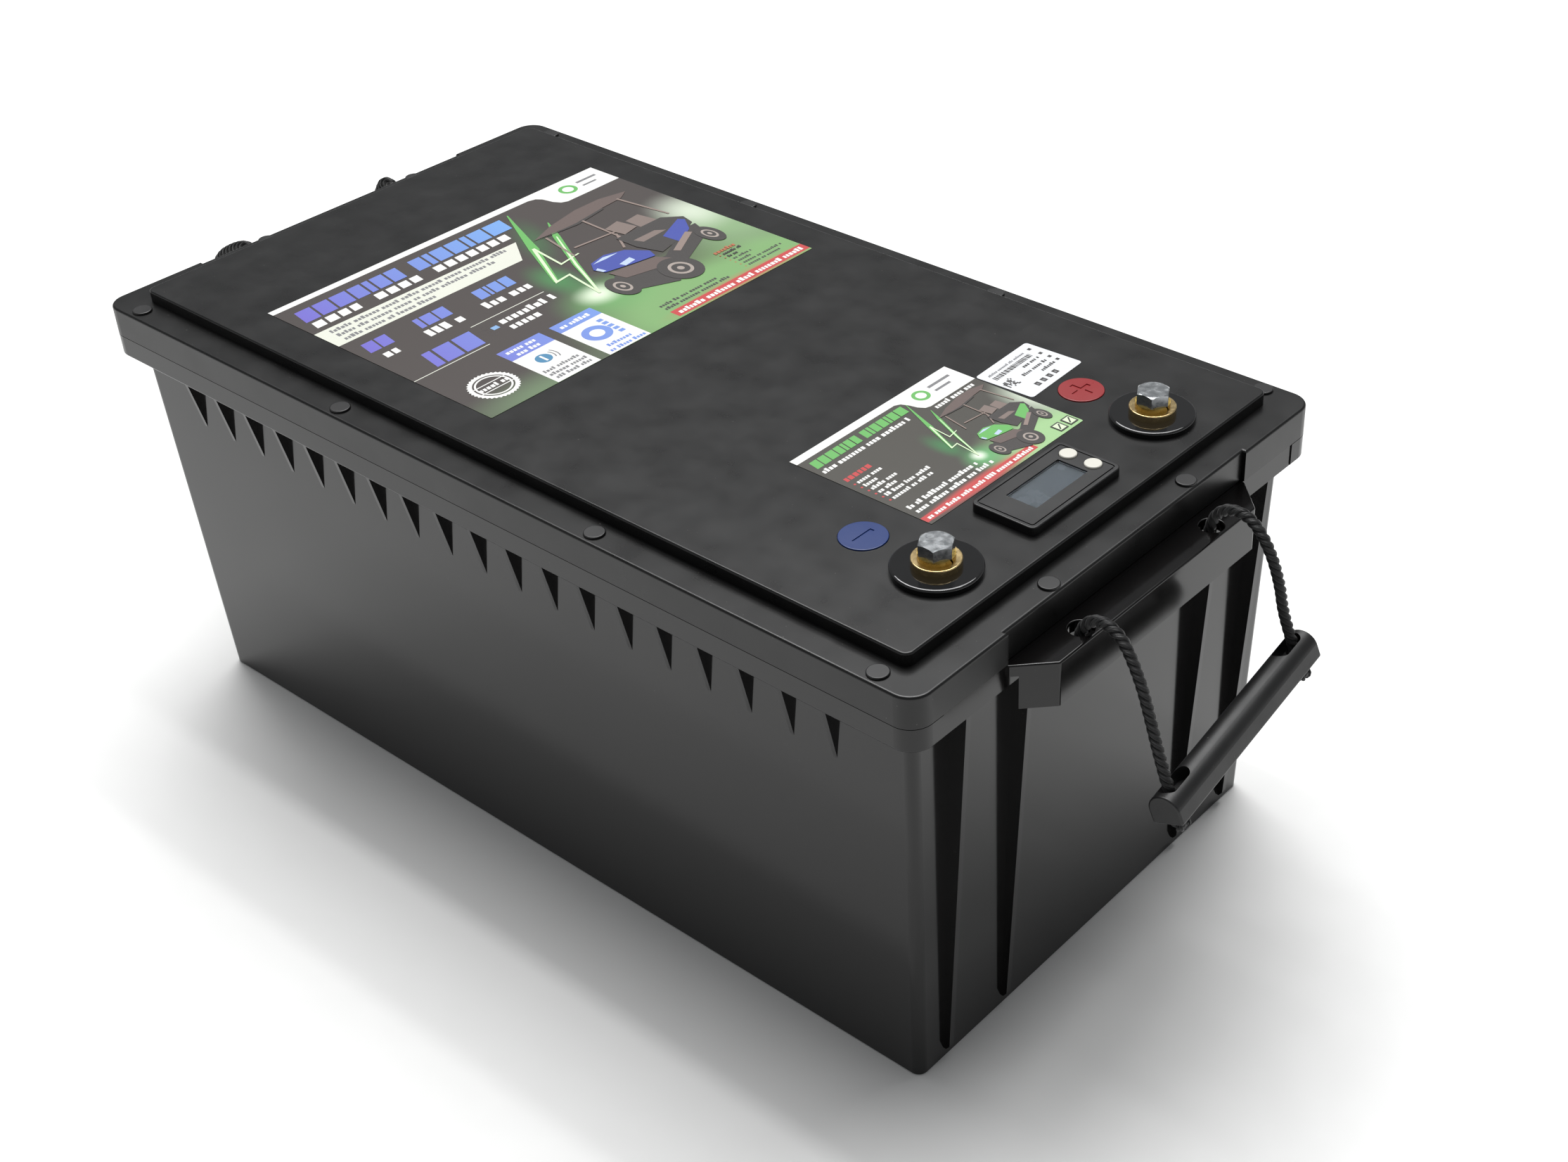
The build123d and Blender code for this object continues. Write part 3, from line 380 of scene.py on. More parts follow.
@dataclass(frozen=True)
class ClearAcrylic:
    """The meter's window: clear cast acrylic, with a faint moulding ripple."""

    name: str

    def build(self) -> bpy.types.Material:
        """Makes the material."""
        material, tree, shader = start_material(
            self.name, IOR=1.49, Roughness=0.03, Transmission_Weight=1.0, Base_Color=linear("#eef1f2")
        )
        place = add(tree, "ShaderNodeTexCoord", {}).outputs["Object"]
        bumped(tree, shader, [(noise(tree, place, 8.0, 0.0), 0.004)])
        return material


# ABS moulded against a polished tool: near-black, with reflections that are sharp close up and soft far away.
CASE_ABS = MouldedPlastic("Moulded_ABS_case", "#0b0a0a", "#0e0d0d", 0.12, 0.7, 0.001, 70.0, 0.25, dust=0.1, ior=1.47)
# ABS moulded against a lightly etched tool: a satin top with specks of dust.
LID_ABS = MouldedPlastic("Etched_ABS_lid", "#0c0c0c", "#0f0f0f", 0.3, 0.6, 0.004, 90.0, 0.05, dust=0.2, ior=1.46)
# Polished nylon: the bosses shine like piano lacquer.
BOSS_NYLON = MouldedPlastic("Polished_nylon_boss", "#050506", "#080809", 0.1, 0.7, 0.001, 20.0, 0.02, coat=0.6)
# Polyethylene caps: black, a little waxy.
CAP_PE = MouldedPlastic("Polyethylene_cap", "#0b0b0c", "#101011", 0.36)
# The meter's housing has a spark-eroded texture.
METER_ABS = MouldedPlastic("Spark_eroded_ABS", "#0e0e0f", "#151516", 0.36, 0.45, 0.008)
GRIP_PE = MouldedPlastic("Moulded_polyethylene_grip", "#0c0c0d", "#131313", 0.42, 1.2, 0.02, 25.0, 0.08, dust=0.3)
SILICONE = MouldedPlastic("Silicone_seal", "#0a0a0a", "#101010", 0.6)
FOAM = MouldedPlastic("Closed_cell_foam", "#161616", "#202020", 0.9, 1.5, 0.2)
BLUE_DISC = MouldedPlastic("Blue_styrene", "#0c2b66", "#0f306e", 0.3, coat=0.3)
RED_DISC = MouldedPlastic("Red_styrene", "#8a1c20", "#932226", 0.3, coat=0.3)
BUTTON_ABS = MouldedPlastic("Off_white_ABS_button", "#cfcdc2", "#dad8ce", 0.35)
DISPLAY = MouldedPlastic("Unlit_liquid_crystal", "#6d747c", "#7a8189", 0.25)
BOARD = MouldedPlastic("Green_solder_mask", "#0c4a22", "#11582a", 0.35)
SHEET = MouldedPlastic("Glass_epoxy_sheet", "#d6d8d0", "#e2e4dc", 0.55)
CELL_FILM = MouldedPlastic("Blue_film_on_can", "#1c4fae", "#2459bb", 0.3, wave_mm=12.0, wave_depth=0.05)
RED_CABLE = MouldedPlastic("Red_silicone_cable", "#a01313", "#b01a1a", 0.5)
BLACK_CABLE = MouldedPlastic("Black_silicone_cable", "#0d0d0d", "#151515", 0.5)
LOOM = MouldedPlastic("Woven_loom_sleeve", "#101010", "#1a1a1a", 0.7, 0.8, 0.08)
# Turned brass: warm yellow with fine rings from the lathe.
PLAIN_BRASS = WorkedMetal("Turned_brass_nut", "#dcc08a", "#e2c996", 0.25)
# Zinc plate is a soft blue-grey white.
ZINC = WorkedMetal("Zinc_plated_steel", "#c3c7ca", "#cdd0d2", 0.2, depth=0.002)
YELLOW_ZINC = WorkedMetal("Yellow_zinc_spring_steel", "#c9a755", "#d9bd70", 0.28)
ALUMINIUM = WorkedMetal("Mill_finish_aluminium", "#c3c5c7", "#d2d4d6", 0.4)
BLACK_ALUMINIUM = WorkedMetal("Black_anodised_aluminium", "#1b1b1d", "#242427", 0.45)
STAINLESS = WorkedMetal("Stainless_strap", "#a9acae", "#bcbfc1", 0.35)
COPPER = WorkedMetal("Copper_bar", "#c77b54", "#d68e66", 0.3)
TINNED = WorkedMetal("Tinned_copper", "#bdbbb6", "#cbc9c5", 0.35)
YARN = TwistedYarn("Polypropylene_yarn", "#050505", "#161617")


# ---- camera and studio ----


@dataclass
class Studio:
    """A pale floor, soft lights and the camera."""

    azimuth_deg: float = 39.87
    elevation_deg: float = 34.46
    roll_deg: float = -1.09
    distance: float = 1.03677
    target: Place = (0.0902, 0.0668, 0.09464)
    focal_widths: float = 1.39101  # focal length over the picture's width
    shift: Point = (-0.09645, -0.00954)
    sensor: float = 36.0
    floor_side: float = 14.0
    world_strength: float = 0.26
    sun_strength: float = 2.8
    sun_width_deg: float = 50.0  # wide, so that the shadow's edge is soft
    sun_from: Place = (-0.26, 0.3, 0.92)  # behind the battery, so that its shadow falls toward the camera
    panel_size: Point = (1.6, 0.07)
    panel_power: float = 5.0
    panels: tuple[tuple[str, Place], ...] = (
        ("panel_left", (-0.5, 0.1, 1.5)),
        ("panel_right", (-0.2, 0.5, 1.6)),
    )

    def camera(self) -> None:
        """Makes the camera and the scene's view."""
        data = bpy.data.cameras.new("Camera")
        data.sensor_width = self.sensor
        data.sensor_fit = "HORIZONTAL"
        data.lens = self.focal_widths * self.sensor
        data.shift_x, data.shift_y = self.shift
        data.clip_start = 0.05
        azimuth, elevation = math.radians(self.azimuth_deg), math.radians(self.elevation_deg)
        back = Vector(
            (
                math.sin(azimuth) * math.cos(elevation),
                -math.cos(azimuth) * math.cos(elevation),
                math.sin(elevation),
            )
        )
        right = (-back).cross(Vector((0, 0, 1))).normalized()
        up = right.cross(-back)
        turn = Matrix.Rotation(math.radians(self.roll_deg), 3, back)
        right, up = turn @ right, turn @ up
        eye = bpy.data.objects.new("Camera", data)
        bpy.context.scene.collection.objects.link(eye)
        axes = Matrix((right, up, back)).transposed().to_4x4()
        eye.matrix_world = Matrix.Translation(Vector(self.target) + back * self.distance) @ axes
        bpy.context.scene.camera = eye

    def floor(self) -> None:
        """Makes the pale floor."""
        deselect()
        bpy.ops.mesh.primitive_plane_add(size=self.floor_side)
        ground = bpy.context.object
        ground.name = "floor"
        paper = MouldedPlastic("Painted_floor", "#f2f2f1", "#f5f5f4", 0.7, 6.0, 0.0)
        ground.data.materials.append(paper.build())

    def lights(self) -> None:
        """Hangs the soft lights, and shows them without a film curve."""
        world = bpy.data.worlds.new("studio")
        world.use_nodes = True
        world.node_tree.nodes["Background"].inputs["Color"].default_value = linear("#f4f6f8")
        world.node_tree.nodes["Background"].inputs["Strength"].default_value = self.world_strength
        bpy.context.scene.world = world
        sun = bpy.data.lights.new("ceiling", "SUN")
        sun.energy = self.sun_strength
        sun.angle = math.radians(self.sun_width_deg)
        lamp = bpy.data.objects.new("ceiling", sun)
        bpy.context.scene.collection.objects.link(lamp)
        lamp.matrix_world = Vector(self.sun_from).to_track_quat("Z", "Y").to_matrix().to_4x4()
        for name, place in self.panels:
            data = bpy.data.lights.new(name, "AREA")
            data.shape = "RECTANGLE"
            data.size, data.size_y = self.panel_size
            data.energy = self.panel_power
            panel = bpy.data.objects.new(name, data)
            bpy.context.scene.collection.objects.link(panel)
            panel.location = place
        bpy.context.scene.view_settings.view_transform = "Standard"


# ---- rope handles ----


class End(Enum):
    """Which end of the battery a handle is on, and how many half turns take the front one there."""

    FRONT = 0
    REAR = 1


def sampled(points: Sequence[Vector], step: float) -> list[Vector]:
    """Spaces points evenly along a line.

    Args:
        points: The line's points.
        step: The spacing in metres.

    Returns:
        The evenly spaced points.
    """
    lengths = [0.0]
    for a, b in zip(points, points[1:]):
        lengths.append(lengths[-1] + (b - a).length)
    count = max(2, round(lengths[-1] / step))
    even, k = [], 0
    for i in range(count + 1):
        want = lengths[-1] * i / count
        while k < len(points) - 2 and lengths[k + 1] < want:
            k += 1
        run = lengths[k + 1] - lengths[k]
        even.append(points[k].lerp(points[k + 1], (want - lengths[k]) / run if run else 0.0))
    return even


def smooth_line(route: Sequence[Place]) -> list[Vector]:
    """Reads the smooth line of a route.

    Args:
        route: The route's points in metres.

    Returns:
        Points along the NURBS line that the route's points control.
    """
    data = bpy.data.curves.new("route", "CURVE")
    data.dimensions = "3D"
    data.resolution_u = 16
    spline = data.splines.new("NURBS")
    spline.points.add(len(route) - 1)
    for point, place in zip(spline.points, route):
        point.co = (*place, 1.0)
    spline.order_u = 3
    spline.use_endpoint_u = True
    holder = bpy.data.objects.new("route", data)
    bpy.context.scene.collection.objects.link(holder)
    bpy.context.view_layer.update()
    mesh = bpy.data.meshes.new_from_object(holder)
    line = [v.co.copy() for v in mesh.vertices]
    bpy.data.objects.remove(holder)
    bpy.data.curves.remove(data)
    bpy.data.meshes.remove(mesh)
    return line


def twisted(name: str, line: Sequence[Vector], radius: float, lay: float, sides: int = 12) -> bpy.types.Object:
    """Makes a rope of three twisted strands along a line.

    Args:
        name: The piece's name.
        line: Evenly spaced points of the rope's centre line.
        radius: The rope's radius in metres.
        lay: The length in which a strand goes once round, in metres.
        sides: The sides of each strand.

    Returns:
        The rope as one mesh, with a map named "lay".
    """
    # Three equal round strands that touch fill the rope; they are pressed together a little.
    strand_r = radius / (1 + 2 / math.sqrt(3)) * STRAND_PRESS
    helix_r = radius - strand_r
    tangents = [(line[min(i + 1, len(line) - 1)] - line[max(i - 1, 0)]).normalized() for i in range(len(line))]
    normal = tangents[0].orthogonal().normalized()
    normals = [normal]
    for a, b in zip(tangents, tangents[1:]):
        normal = (a.rotation_difference(b) @ normal).normalized()
        normals.append(normal)
    travelled = [0.0]
    for a, b in zip(line, line[1:]):
        travelled.append(travelled[-1] + (b - a).length)
    verts, faces, maps = [], [], []
    for strand in range(3):
        core = []
        for i, centre in enumerate(line):
            side = tangents[i].cross(normals[i])
            angle = -math.tau * (travelled[i] / lay + strand / 3)
            core.append(centre + helix_r * (math.cos(angle) * normals[i] + math.sin(angle) * side))
        first = len(verts)
        for i, centre in enumerate(core):
            along = (core[min(i + 1, len(core) - 1)] - core[max(i - 1, 0)]).normalized()
            out = core[i] - line[i]
            out = (out - along * out.dot(along)).normalized()
            side = along.cross(out)
            for j in range(sides):
                angle = math.tau * j / sides
                verts.append(centre + strand_r * (math.cos(angle) * out + math.sin(angle) * side))
        for i in range(len(line) - 1):
            for j in range(sides):
                k = (j + 1) % sides
                a, b = first + i * sides, first + (i + 1) * sides
                faces.append((a + j, a + k, b + k, b + j))
                u0, u1 = j / sides, (j + 1) / sides
                v0, v1 = travelled[i] / MM, travelled[i + 1] / MM
                maps += [(u0, v0), (u1, v0), (u1, v1), (u0, v1)]
        last = first + (len(line) - 1) * sides
        faces.append(tuple(first + j for j in reversed(range(sides))))
        faces.append(tuple(last + j for j in range(sides)))
        maps += [(0.0, 0.0)] * sides + [(0.0, travelled[-1] / MM)] * sides
    mesh = bpy.data.meshes.new(name)
    mesh.from_pydata(verts, [], faces)
    layer = mesh.uv_layers.new(name="lay")
    for corner, place in zip(layer.data, maps):
        corner.uv = place
    for face in mesh.polygons:
        face.use_smooth = len(face.vertices) == 4
    rope = bpy.data.objects.new(name, mesh)
    bpy.context.scene.collection.objects.link(rope)
    return rope


STRAND_PRESS = 1.04
ROPE_LENGTHS = {"near": 0.1075, "far": 0.1016}  # metres, end to end
REAR_ROPE_LENGTHS = {"near": 0.0944, "far": 0.1069}
# Each route runs from the knot under the bracket, up through its hole, over in a hump and down to the grip.
ROPE_NEAR = (
    (0.2529, -0.0445, 0.1846),
    (0.2534, -0.0445, 0.1960),
    (0.2618, -0.0447, 0.2038),
    (0.2732, -0.0452, 0.2016),
    (0.2832, -0.0462, 0.1855),
    (0.2894, -0.0476, 0.1708),
    (0.2948, -0.0493, 0.1584),
    (0.3005, -0.0508, 0.1464),
    (0.3049, -0.0496, 0.1342),
)
ROPE_FAR = (
    (0.2529, 0.0445, 0.1880),
    (0.2535, 0.0445, 0.1992),
    (0.2614, 0.0448, 0.2072),
    (0.2726, 0.0454, 0.2060),
    (0.2812, 0.0464, 0.1935),
    (0.2860, 0.0478, 0.1780),
    (0.2875, 0.0488, 0.1666),
    (0.2919, 0.0496, 0.1536),
    (0.2963, 0.0508, 0.1414),
)
# The rear ropes are given at the front end too, and turned half a turn with their handle.
REAR_ROPE_FAR = (
    (0.2529, -0.0445, 0.1846),
    (0.2530, -0.0445, 0.1926),
    (0.2536, -0.0445, 0.1994),
    (0.2588, -0.0446, 0.2040),
    (0.2656, -0.0448, 0.2022),
    (0.2704, -0.0452, 0.1960),
    (0.2760, -0.0459, 0.1872),
    (0.2824, -0.0469, 0.1778),
    (0.2888, -0.0482, 0.1678),
    (0.2948, -0.0496, 0.1572),
    (0.3005, -0.0508, 0.1464),
    (0.3049, -0.0496, 0.1342),
)
REAR_ROPE_NEAR = (
    (0.2529, 0.0445, 0.1880),
    (0.2530, 0.0445, 0.1946),
    (0.2554, 0.0445, 0.1994),
    (0.2608, 0.0446, 0.2014),
    (0.2676, 0.0449, 0.1994),
    (0.2752, 0.0455, 0.1956),
    (0.2826, 0.0462, 0.1910),
    (0.2886, 0.0471, 0.1840),
    (0.2908, 0.0479, 0.1742),
    (0.2904, 0.0487, 0.1638),
    (0.2919, 0.0496, 0.1536),
    (0.2963, 0.0508, 0.1414),
)


@dataclass
class RopeHandle:
    """A moulded grip on two knotted ropes, at one end of the battery."""

    end: End
    yarn: bpy.types.Material
    plastic: bpy.types.Material
    rope_radius: float = 2.5 * MM
    lay: float = 10.2 * MM
    step: float = 0.55 * MM
    bend_from: Place = (0.256, 0.0, 0.198)
    bend_to: Place = (0.272, 0.0, 0.198)
    knot_size: float = 2.5 * MM
    knot_drop: float = 3.9 * MM
    knot_rope_radius: float = 1.7 * MM  # pulled tight
    knot_step: float = 0.6 * MM
    knot_turn: float = 0.97  # the share of the closed loop that the rope runs, so that its two ends show
    knot_flat: float = 0.55  # how deep the loop is over how wide
    knot_points: int = 72

    def turned(self, place: Iterable[float]) -> Place:
        """Takes a point of the front handle to this handle's end."""
        x, y, z = place
        sign = 1 if self.end is End.FRONT else -1
        return sign * x, sign * y, z

    def ropes(self) -> dict[str, tuple[Sequence[Place], float]]:
        """Gives the route and the length in metres of the near rope and the far rope."""
        if self.end is End.FRONT:
            routes, lengths = {"near": ROPE_NEAR, "far": ROPE_FAR}, ROPE_LENGTHS
        else:
            routes, lengths = {"near": REAR_ROPE_NEAR, "far": REAR_ROPE_FAR}, REAR_ROPE_LENGTHS
        return {side: (route, lengths[side]) for side, route in routes.items()}

    def build(self) -> None:
        """Makes both ropes and their four knots, and dresses the grip."""
        prefix = self.end.name.lower()
        body = f"{prefix}_handle"
        for side, (route, length) in self.ropes().items():
            place = [self.turned(p) for p in route]
            line = sampled(smooth_line(place), self.step)
            rope = twisted(f"{prefix}_{side}_twisted_rope", line, self.rope_radius, self.lay)
            settle(rope, self.yarn, None)
            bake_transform(rope)
            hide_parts(f"{prefix}_rope_{side}")
            top = self.knot(f"{prefix}_{side}_bracket_knot", line[0], line[0] - line[4])
            settle(top, self.yarn, "battery")
            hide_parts("bracket_knots")
            low = self.knot(f"{prefix}_{side}_grip_knot", line[-1], line[-1] - line[-5])
            settle(low, self.yarn, body)
            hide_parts(f"{prefix}_grip_knots")
        dress(f"{prefix}_grip", self.plastic)

    def knot(self, name: str, place: Vector, way: Vector) -> bpy.types.Object:
        """Ties an overhand knot past a rope's end.

        Args:
            name: The piece's name.
            place: The rope's end.
            way: The direction that the rope leaves in.

        Returns:
            The knot.
        """
        loop = []
        for i in range(self.knot_points + 1):
            t = math.tau * (i / self.knot_points) * self.knot_turn
            loop.append(
                Vector(
                    (
                        (math.sin(t) + 2 * math.sin(2 * t)) / 3,
                        (math.cos(t) - 2 * math.cos(2 * t)) / 3,
                        -math.sin(3 * t) * self.knot_flat,
                    )
                )
                * self.knot_size
            )
        turn = way.to_track_quat("Z", "Y").to_matrix()
        centre = place + way.normalized() * self.knot_drop
        line = sampled([centre + turn @ p for p in loop], self.knot_step)
        return twisted(name, line, self.knot_rope_radius, self.lay * 0.7, sides=8)


# ---- printing ----

LABEL_TOP = 216.7  # millimetres


@dataclass
class Printed:
    """One closed shape of an ink, with the holes in it."""

    ink: str
    loops: list[list[Point]]
    level: int

    def box(self) -> tuple[float, float, float, float]:
        """Gives the box round the shape."""
        us, vs = zip(*self.loops[0])
        return min(us), min(vs), max(us), max(vs)


@dataclass
class Printing:
    """Flat printed shapes on one label, in the label's own reading directions. Later shapes lie over earlier ones."""

    name: str
    corner: Point  # where reading starts: the +X, -Y corner of the label
    top: float
    turn_deg: float = 0.0
    pivot: Point = (0.0, 0.0)
    shapes: list[Printed] = field(default_factory=list)
    thickness: float = 0.015

    def shape(self, ink: str, points: Sequence[Point], *holes: Sequence[Point]) -> None:
        """Keeps one closed shape, on the level above everything that it covers."""
        made = Printed(ink, [list(points), *[list(hole) for hole in holes]], 0)
        low_u, low_v, high_u, high_v = made.box()
        for other in self.shapes:
            a, b, c, d = other.box()
            if a < high_u and c > low_u and b < high_v and d > low_v:
                made.level = max(made.level, other.level + 1)
        self.shapes.append(made)

    def bar(self, ink: str, low: Point, high: Point, lean: float = 0.0) -> None:
        """Prints a box between two corners, its top moved over by lean."""
        (a, b), (c, d) = low, high
        self.shape(ink, [(a, b), (c, b), (c + lean, d), (a + lean, d)])

    def ring(self, ink: str, centre: Point, outer: float, inner: float = 0.0, teeth: int = 0) -> None:
        """Prints a disc, a ring or a toothed ring."""
        count = teeth * 2 if teeth else 40
        reach = [outer * (0.93 if teeth and i % 2 == 0 else 1.0) for i in range(count)]
        turns = [math.tau * i / count for i in range(count)]
        edge = [(centre[0] + r * math.cos(a), centre[1] + r * math.sin(a)) for r, a in zip(reach, turns)]
        hole = [(centre[0] + inner * math.cos(a), centre[1] + inner * math.sin(a)) for a in turns]
        self.shape(ink, edge, *([hole] if inner else []))

    def stroke(self, ink: str, points: Sequence[Point], widths: Sequence[float]) -> None:
        """Prints a line with a width at each of its points and mitred corners."""
        places = [Vector(p) for p in points]
        ways = [(b - a).normalized() for a, b in zip(places, places[1:])]
        left, right = [], []
        for i, place in enumerate(places):
            before, after = ways[max(i - 1, 0)], ways[min(i, len(ways) - 1)]
            middle = (before + after).normalized()
            side = Vector((-middle.y, middle.x)) * widths[i] / 2 / max(middle.dot(after), 0.35)
            left.append(tuple(place + side))
            right.append(tuple(place - side))
        self.shape(ink, left + right[::-1])

    def small_print(self, ink: str, start: Point, height: float, width: float, seed: int) -> None:
        """Prints a row of short strokes in groups, where a line of small print stands."""
        draw = random.Random(seed)
        u = start[0]
        end = u + width
        while u < end:
            for _ in range(draw.randint(2, 8)):
                wide = height * draw.uniform(0.4, 0.62)
                if u + wide > end:
                    break
                tall = height * draw.choice((0.72, 0.72, 0.72, 1.0))
                self.bar(ink, (u, start[1]), (u + wide, start[1] + tall), lean=height * 0.08)
                u += wide + height * 0.17
            u += height * 0.45

    def heavy_blocks(self, ink: str, start: Point, height: float, widths: Sequence[float]) -> None:
        """Prints a row of leaning blocks, where a bold title stands. A width below 0 is a gap."""
        u = start[0]
        for wide in widths:
            if wide > 0:
                self.bar(ink, (u, start[1]), (u + wide, start[1] + height), lean=height * 0.17)
            u += abs(wide) + height * 0.1

    def build(self, inks: dict[str, bpy.types.Material], slot: str) -> None:
        """Makes one thin piece for each ink."""
        turn = Matrix.Rotation(math.radians(self.turn_deg), 2)
        for ink in sorted({shape.ink for shape in self.shapes}):
            flats = []
            for level in sorted({shape.level for shape in self.shapes if shape.ink == ink}):
                data = bpy.data.curves.new("shape", "CURVE")
                data.dimensions = "2D"
                data.fill_mode = "BOTH"
                data.extrude = self.thickness / 2 * MM
                for points in [p for s in self.shapes if (s.ink, s.level) == (ink, level) for p in s.loops]:
                    spline = data.splines.new("POLY")
                    spline.points.add(len(points) - 1)
                    for point, (u, v) in zip(spline.points, points):
                        place = turn @ Vector((self.corner[0] - v - self.pivot[0], self.corner[1] + u - self.pivot[1]))
                        point.co = ((place.x + self.pivot[0]) * MM, (place.y + self.pivot[1]) * MM, 0.0, 1.0)
                    spline.use_cyclic_u = True
                flat = bpy.data.objects.new(f"{self.name}_{ink}", data)
                flat.location.z = (self.top + self.thickness * (0.5 + level)) * MM
                bpy.context.scene.collection.objects.link(flat)
                take(flat)
                bpy.ops.object.convert(target="MESH")
                flats.append(bpy.context.object)
            take(flats[0])
            for flat in flats:
                flat.select_set(True)
            if len(flats) > 1:
                bpy.ops.object.join()
            settle(bpy.context.object, inks[ink], "battery")


def cart(page: Printing, at: Point, size: float, panel: str) -> None:
    """Prints a plain little electric cart.

    Args:
        page: The label's printing.
        at: Where the picture's lower left corner is on the label.
        size: The picture's width over the width that it is drawn at here.
        panel: The ink of its body panels.
    """

    def put(points: Sequence[Point]) -> list[Point]:
        """Moves and sizes points."""
        return [(at[0] + u * size, at[1] + v * size) for u, v in points]

    def wheel(u: float, v: float, r: float, squash: float) -> None:
        """Prints a tyre with its rim, narrowed sideways."""
        for ink, reach in (("tyre", r), ("rim", r * 0.55), ("tyre", r * 0.4), ("rim", r * 0.16)):
            around = [
                (u + reach * squash * math.cos(math.tau * i / 28), v + reach * math.sin(math.tau * i / 28))
                for i in range(28)
            ]
            page.shape(ink, put(around))

    page.shape("tyre", put([(3, 20), (12, 30), (42, 26), (66, 40), (76, 40), (72, 28), (44, 14), (28, 2), (8, 12)]))
    page.shape("roof", put([(14, 88), (30, 94), (50, 98), (66, 98), (81, 94), (74, 90), (60, 89), (40, 86)]))
    page.shape("tyre", put([(16, 87), (40, 84.5), (60, 87.5), (60, 89), (40, 86.5)]))
    posts = [((20, 86), (15, 60)), ((44, 86), (43, 58)), ((72, 91), (76, 58)), ((21, 67), (47, 64))]
    for post in (*posts, ((36, 48), (44, 62))):
        page.stroke("post", put(post), (1.3 * size, 1.1 * size))
    page.shape("seat", put([(44, 70), (54, 72), (56, 60), (46, 58)]))
    page.shape("seat", put([(57, 69), (66, 70), (68, 57), (57, 56)]))
    page.shape("tyre", put([(40, 58), (70, 58), (78, 50), (76, 42), (60, 34), (44, 30), (40, 44)]))
    page.shape("seat", put([(44, 50), (58, 50), (62, 46), (46, 45)]))
    page.shape(panel, put([(56, 42), (74, 50), (76, 47), (70, 38), (57, 30)]))
    page.shape(panel, put([(10, 42), (14, 48), (24, 50), (34, 46), (41, 36), (39, 30), (28, 32), (12, 36)]))
    page.shape("shine", put([(14, 46.5), (22, 48.5), (30, 46.5), (22, 46)]))
    page.shape("shine", put([(22, 37), (30, 38.5), (30, 34.5), (23, 33.5)]))
    page.shape("shine", put([(10.5, 41), (12.5, 42), (13.5, 37), (11.5, 37)]))
    page.shape("roof", put([(12, 34), (38, 29), (42, 22), (36, 18), (14, 24)]))
    page.shape("post", put([(48, 27), (66, 37), (68, 34), (50, 24)]))
    wheel(7, 19, 10.5, 0.62)
    wheel(37, 11, 12.5, 0.82)
    wheel(72, 26, 10, 0.55)


def lightning(page: Printing, at: Point, wide: float, tall: float) -> None:
    """Prints a forked bolt of lightning in green and white.

    Args:
        page: The label's printing.
        at: The place of its lowest tip.
        wide: Its width over the width that it is drawn at here.
        tall: Its height over the height that it is drawn at here.
    """

    def put(points: Sequence[Point]) -> list[Point]:
        """Moves and sizes points."""
        return [(at[0] + u * wide, at[1] + v * tall) for u, v in points]

    edge = [(29, 97), (12, 59), (-5, 24), (4, 25), (0, 0)]
    back = [(36, 75), (28, 60), (13, 30), (0, 0)]
    page.shape("leaf", put([(29.4, 97), (10.5, 60), (8.6, 56.5), (13.6, 56), (16.5, 64)]))
    page.stroke("leaf", put(edge[:3]), [w * wide for w in (0.6, 4.6, 2.6)])
    page.stroke("pale", put(edge[1:]), [w * wide for w in (1.6, 1.5, 1.3, 1.2)])
    page.stroke("leaf", put(back), [w * wide for w in (0.6, 3.6, 3.0, 1.2)])
    page.stroke("pale", put(back[1:]), [w * wide for w in (0.6, 1.3, 1.4)])
    page.stroke("pale", put([(12, 59), (9, 36), (22, 38)]), [w * wide for w in (1.3, 1.2, 0.9)])


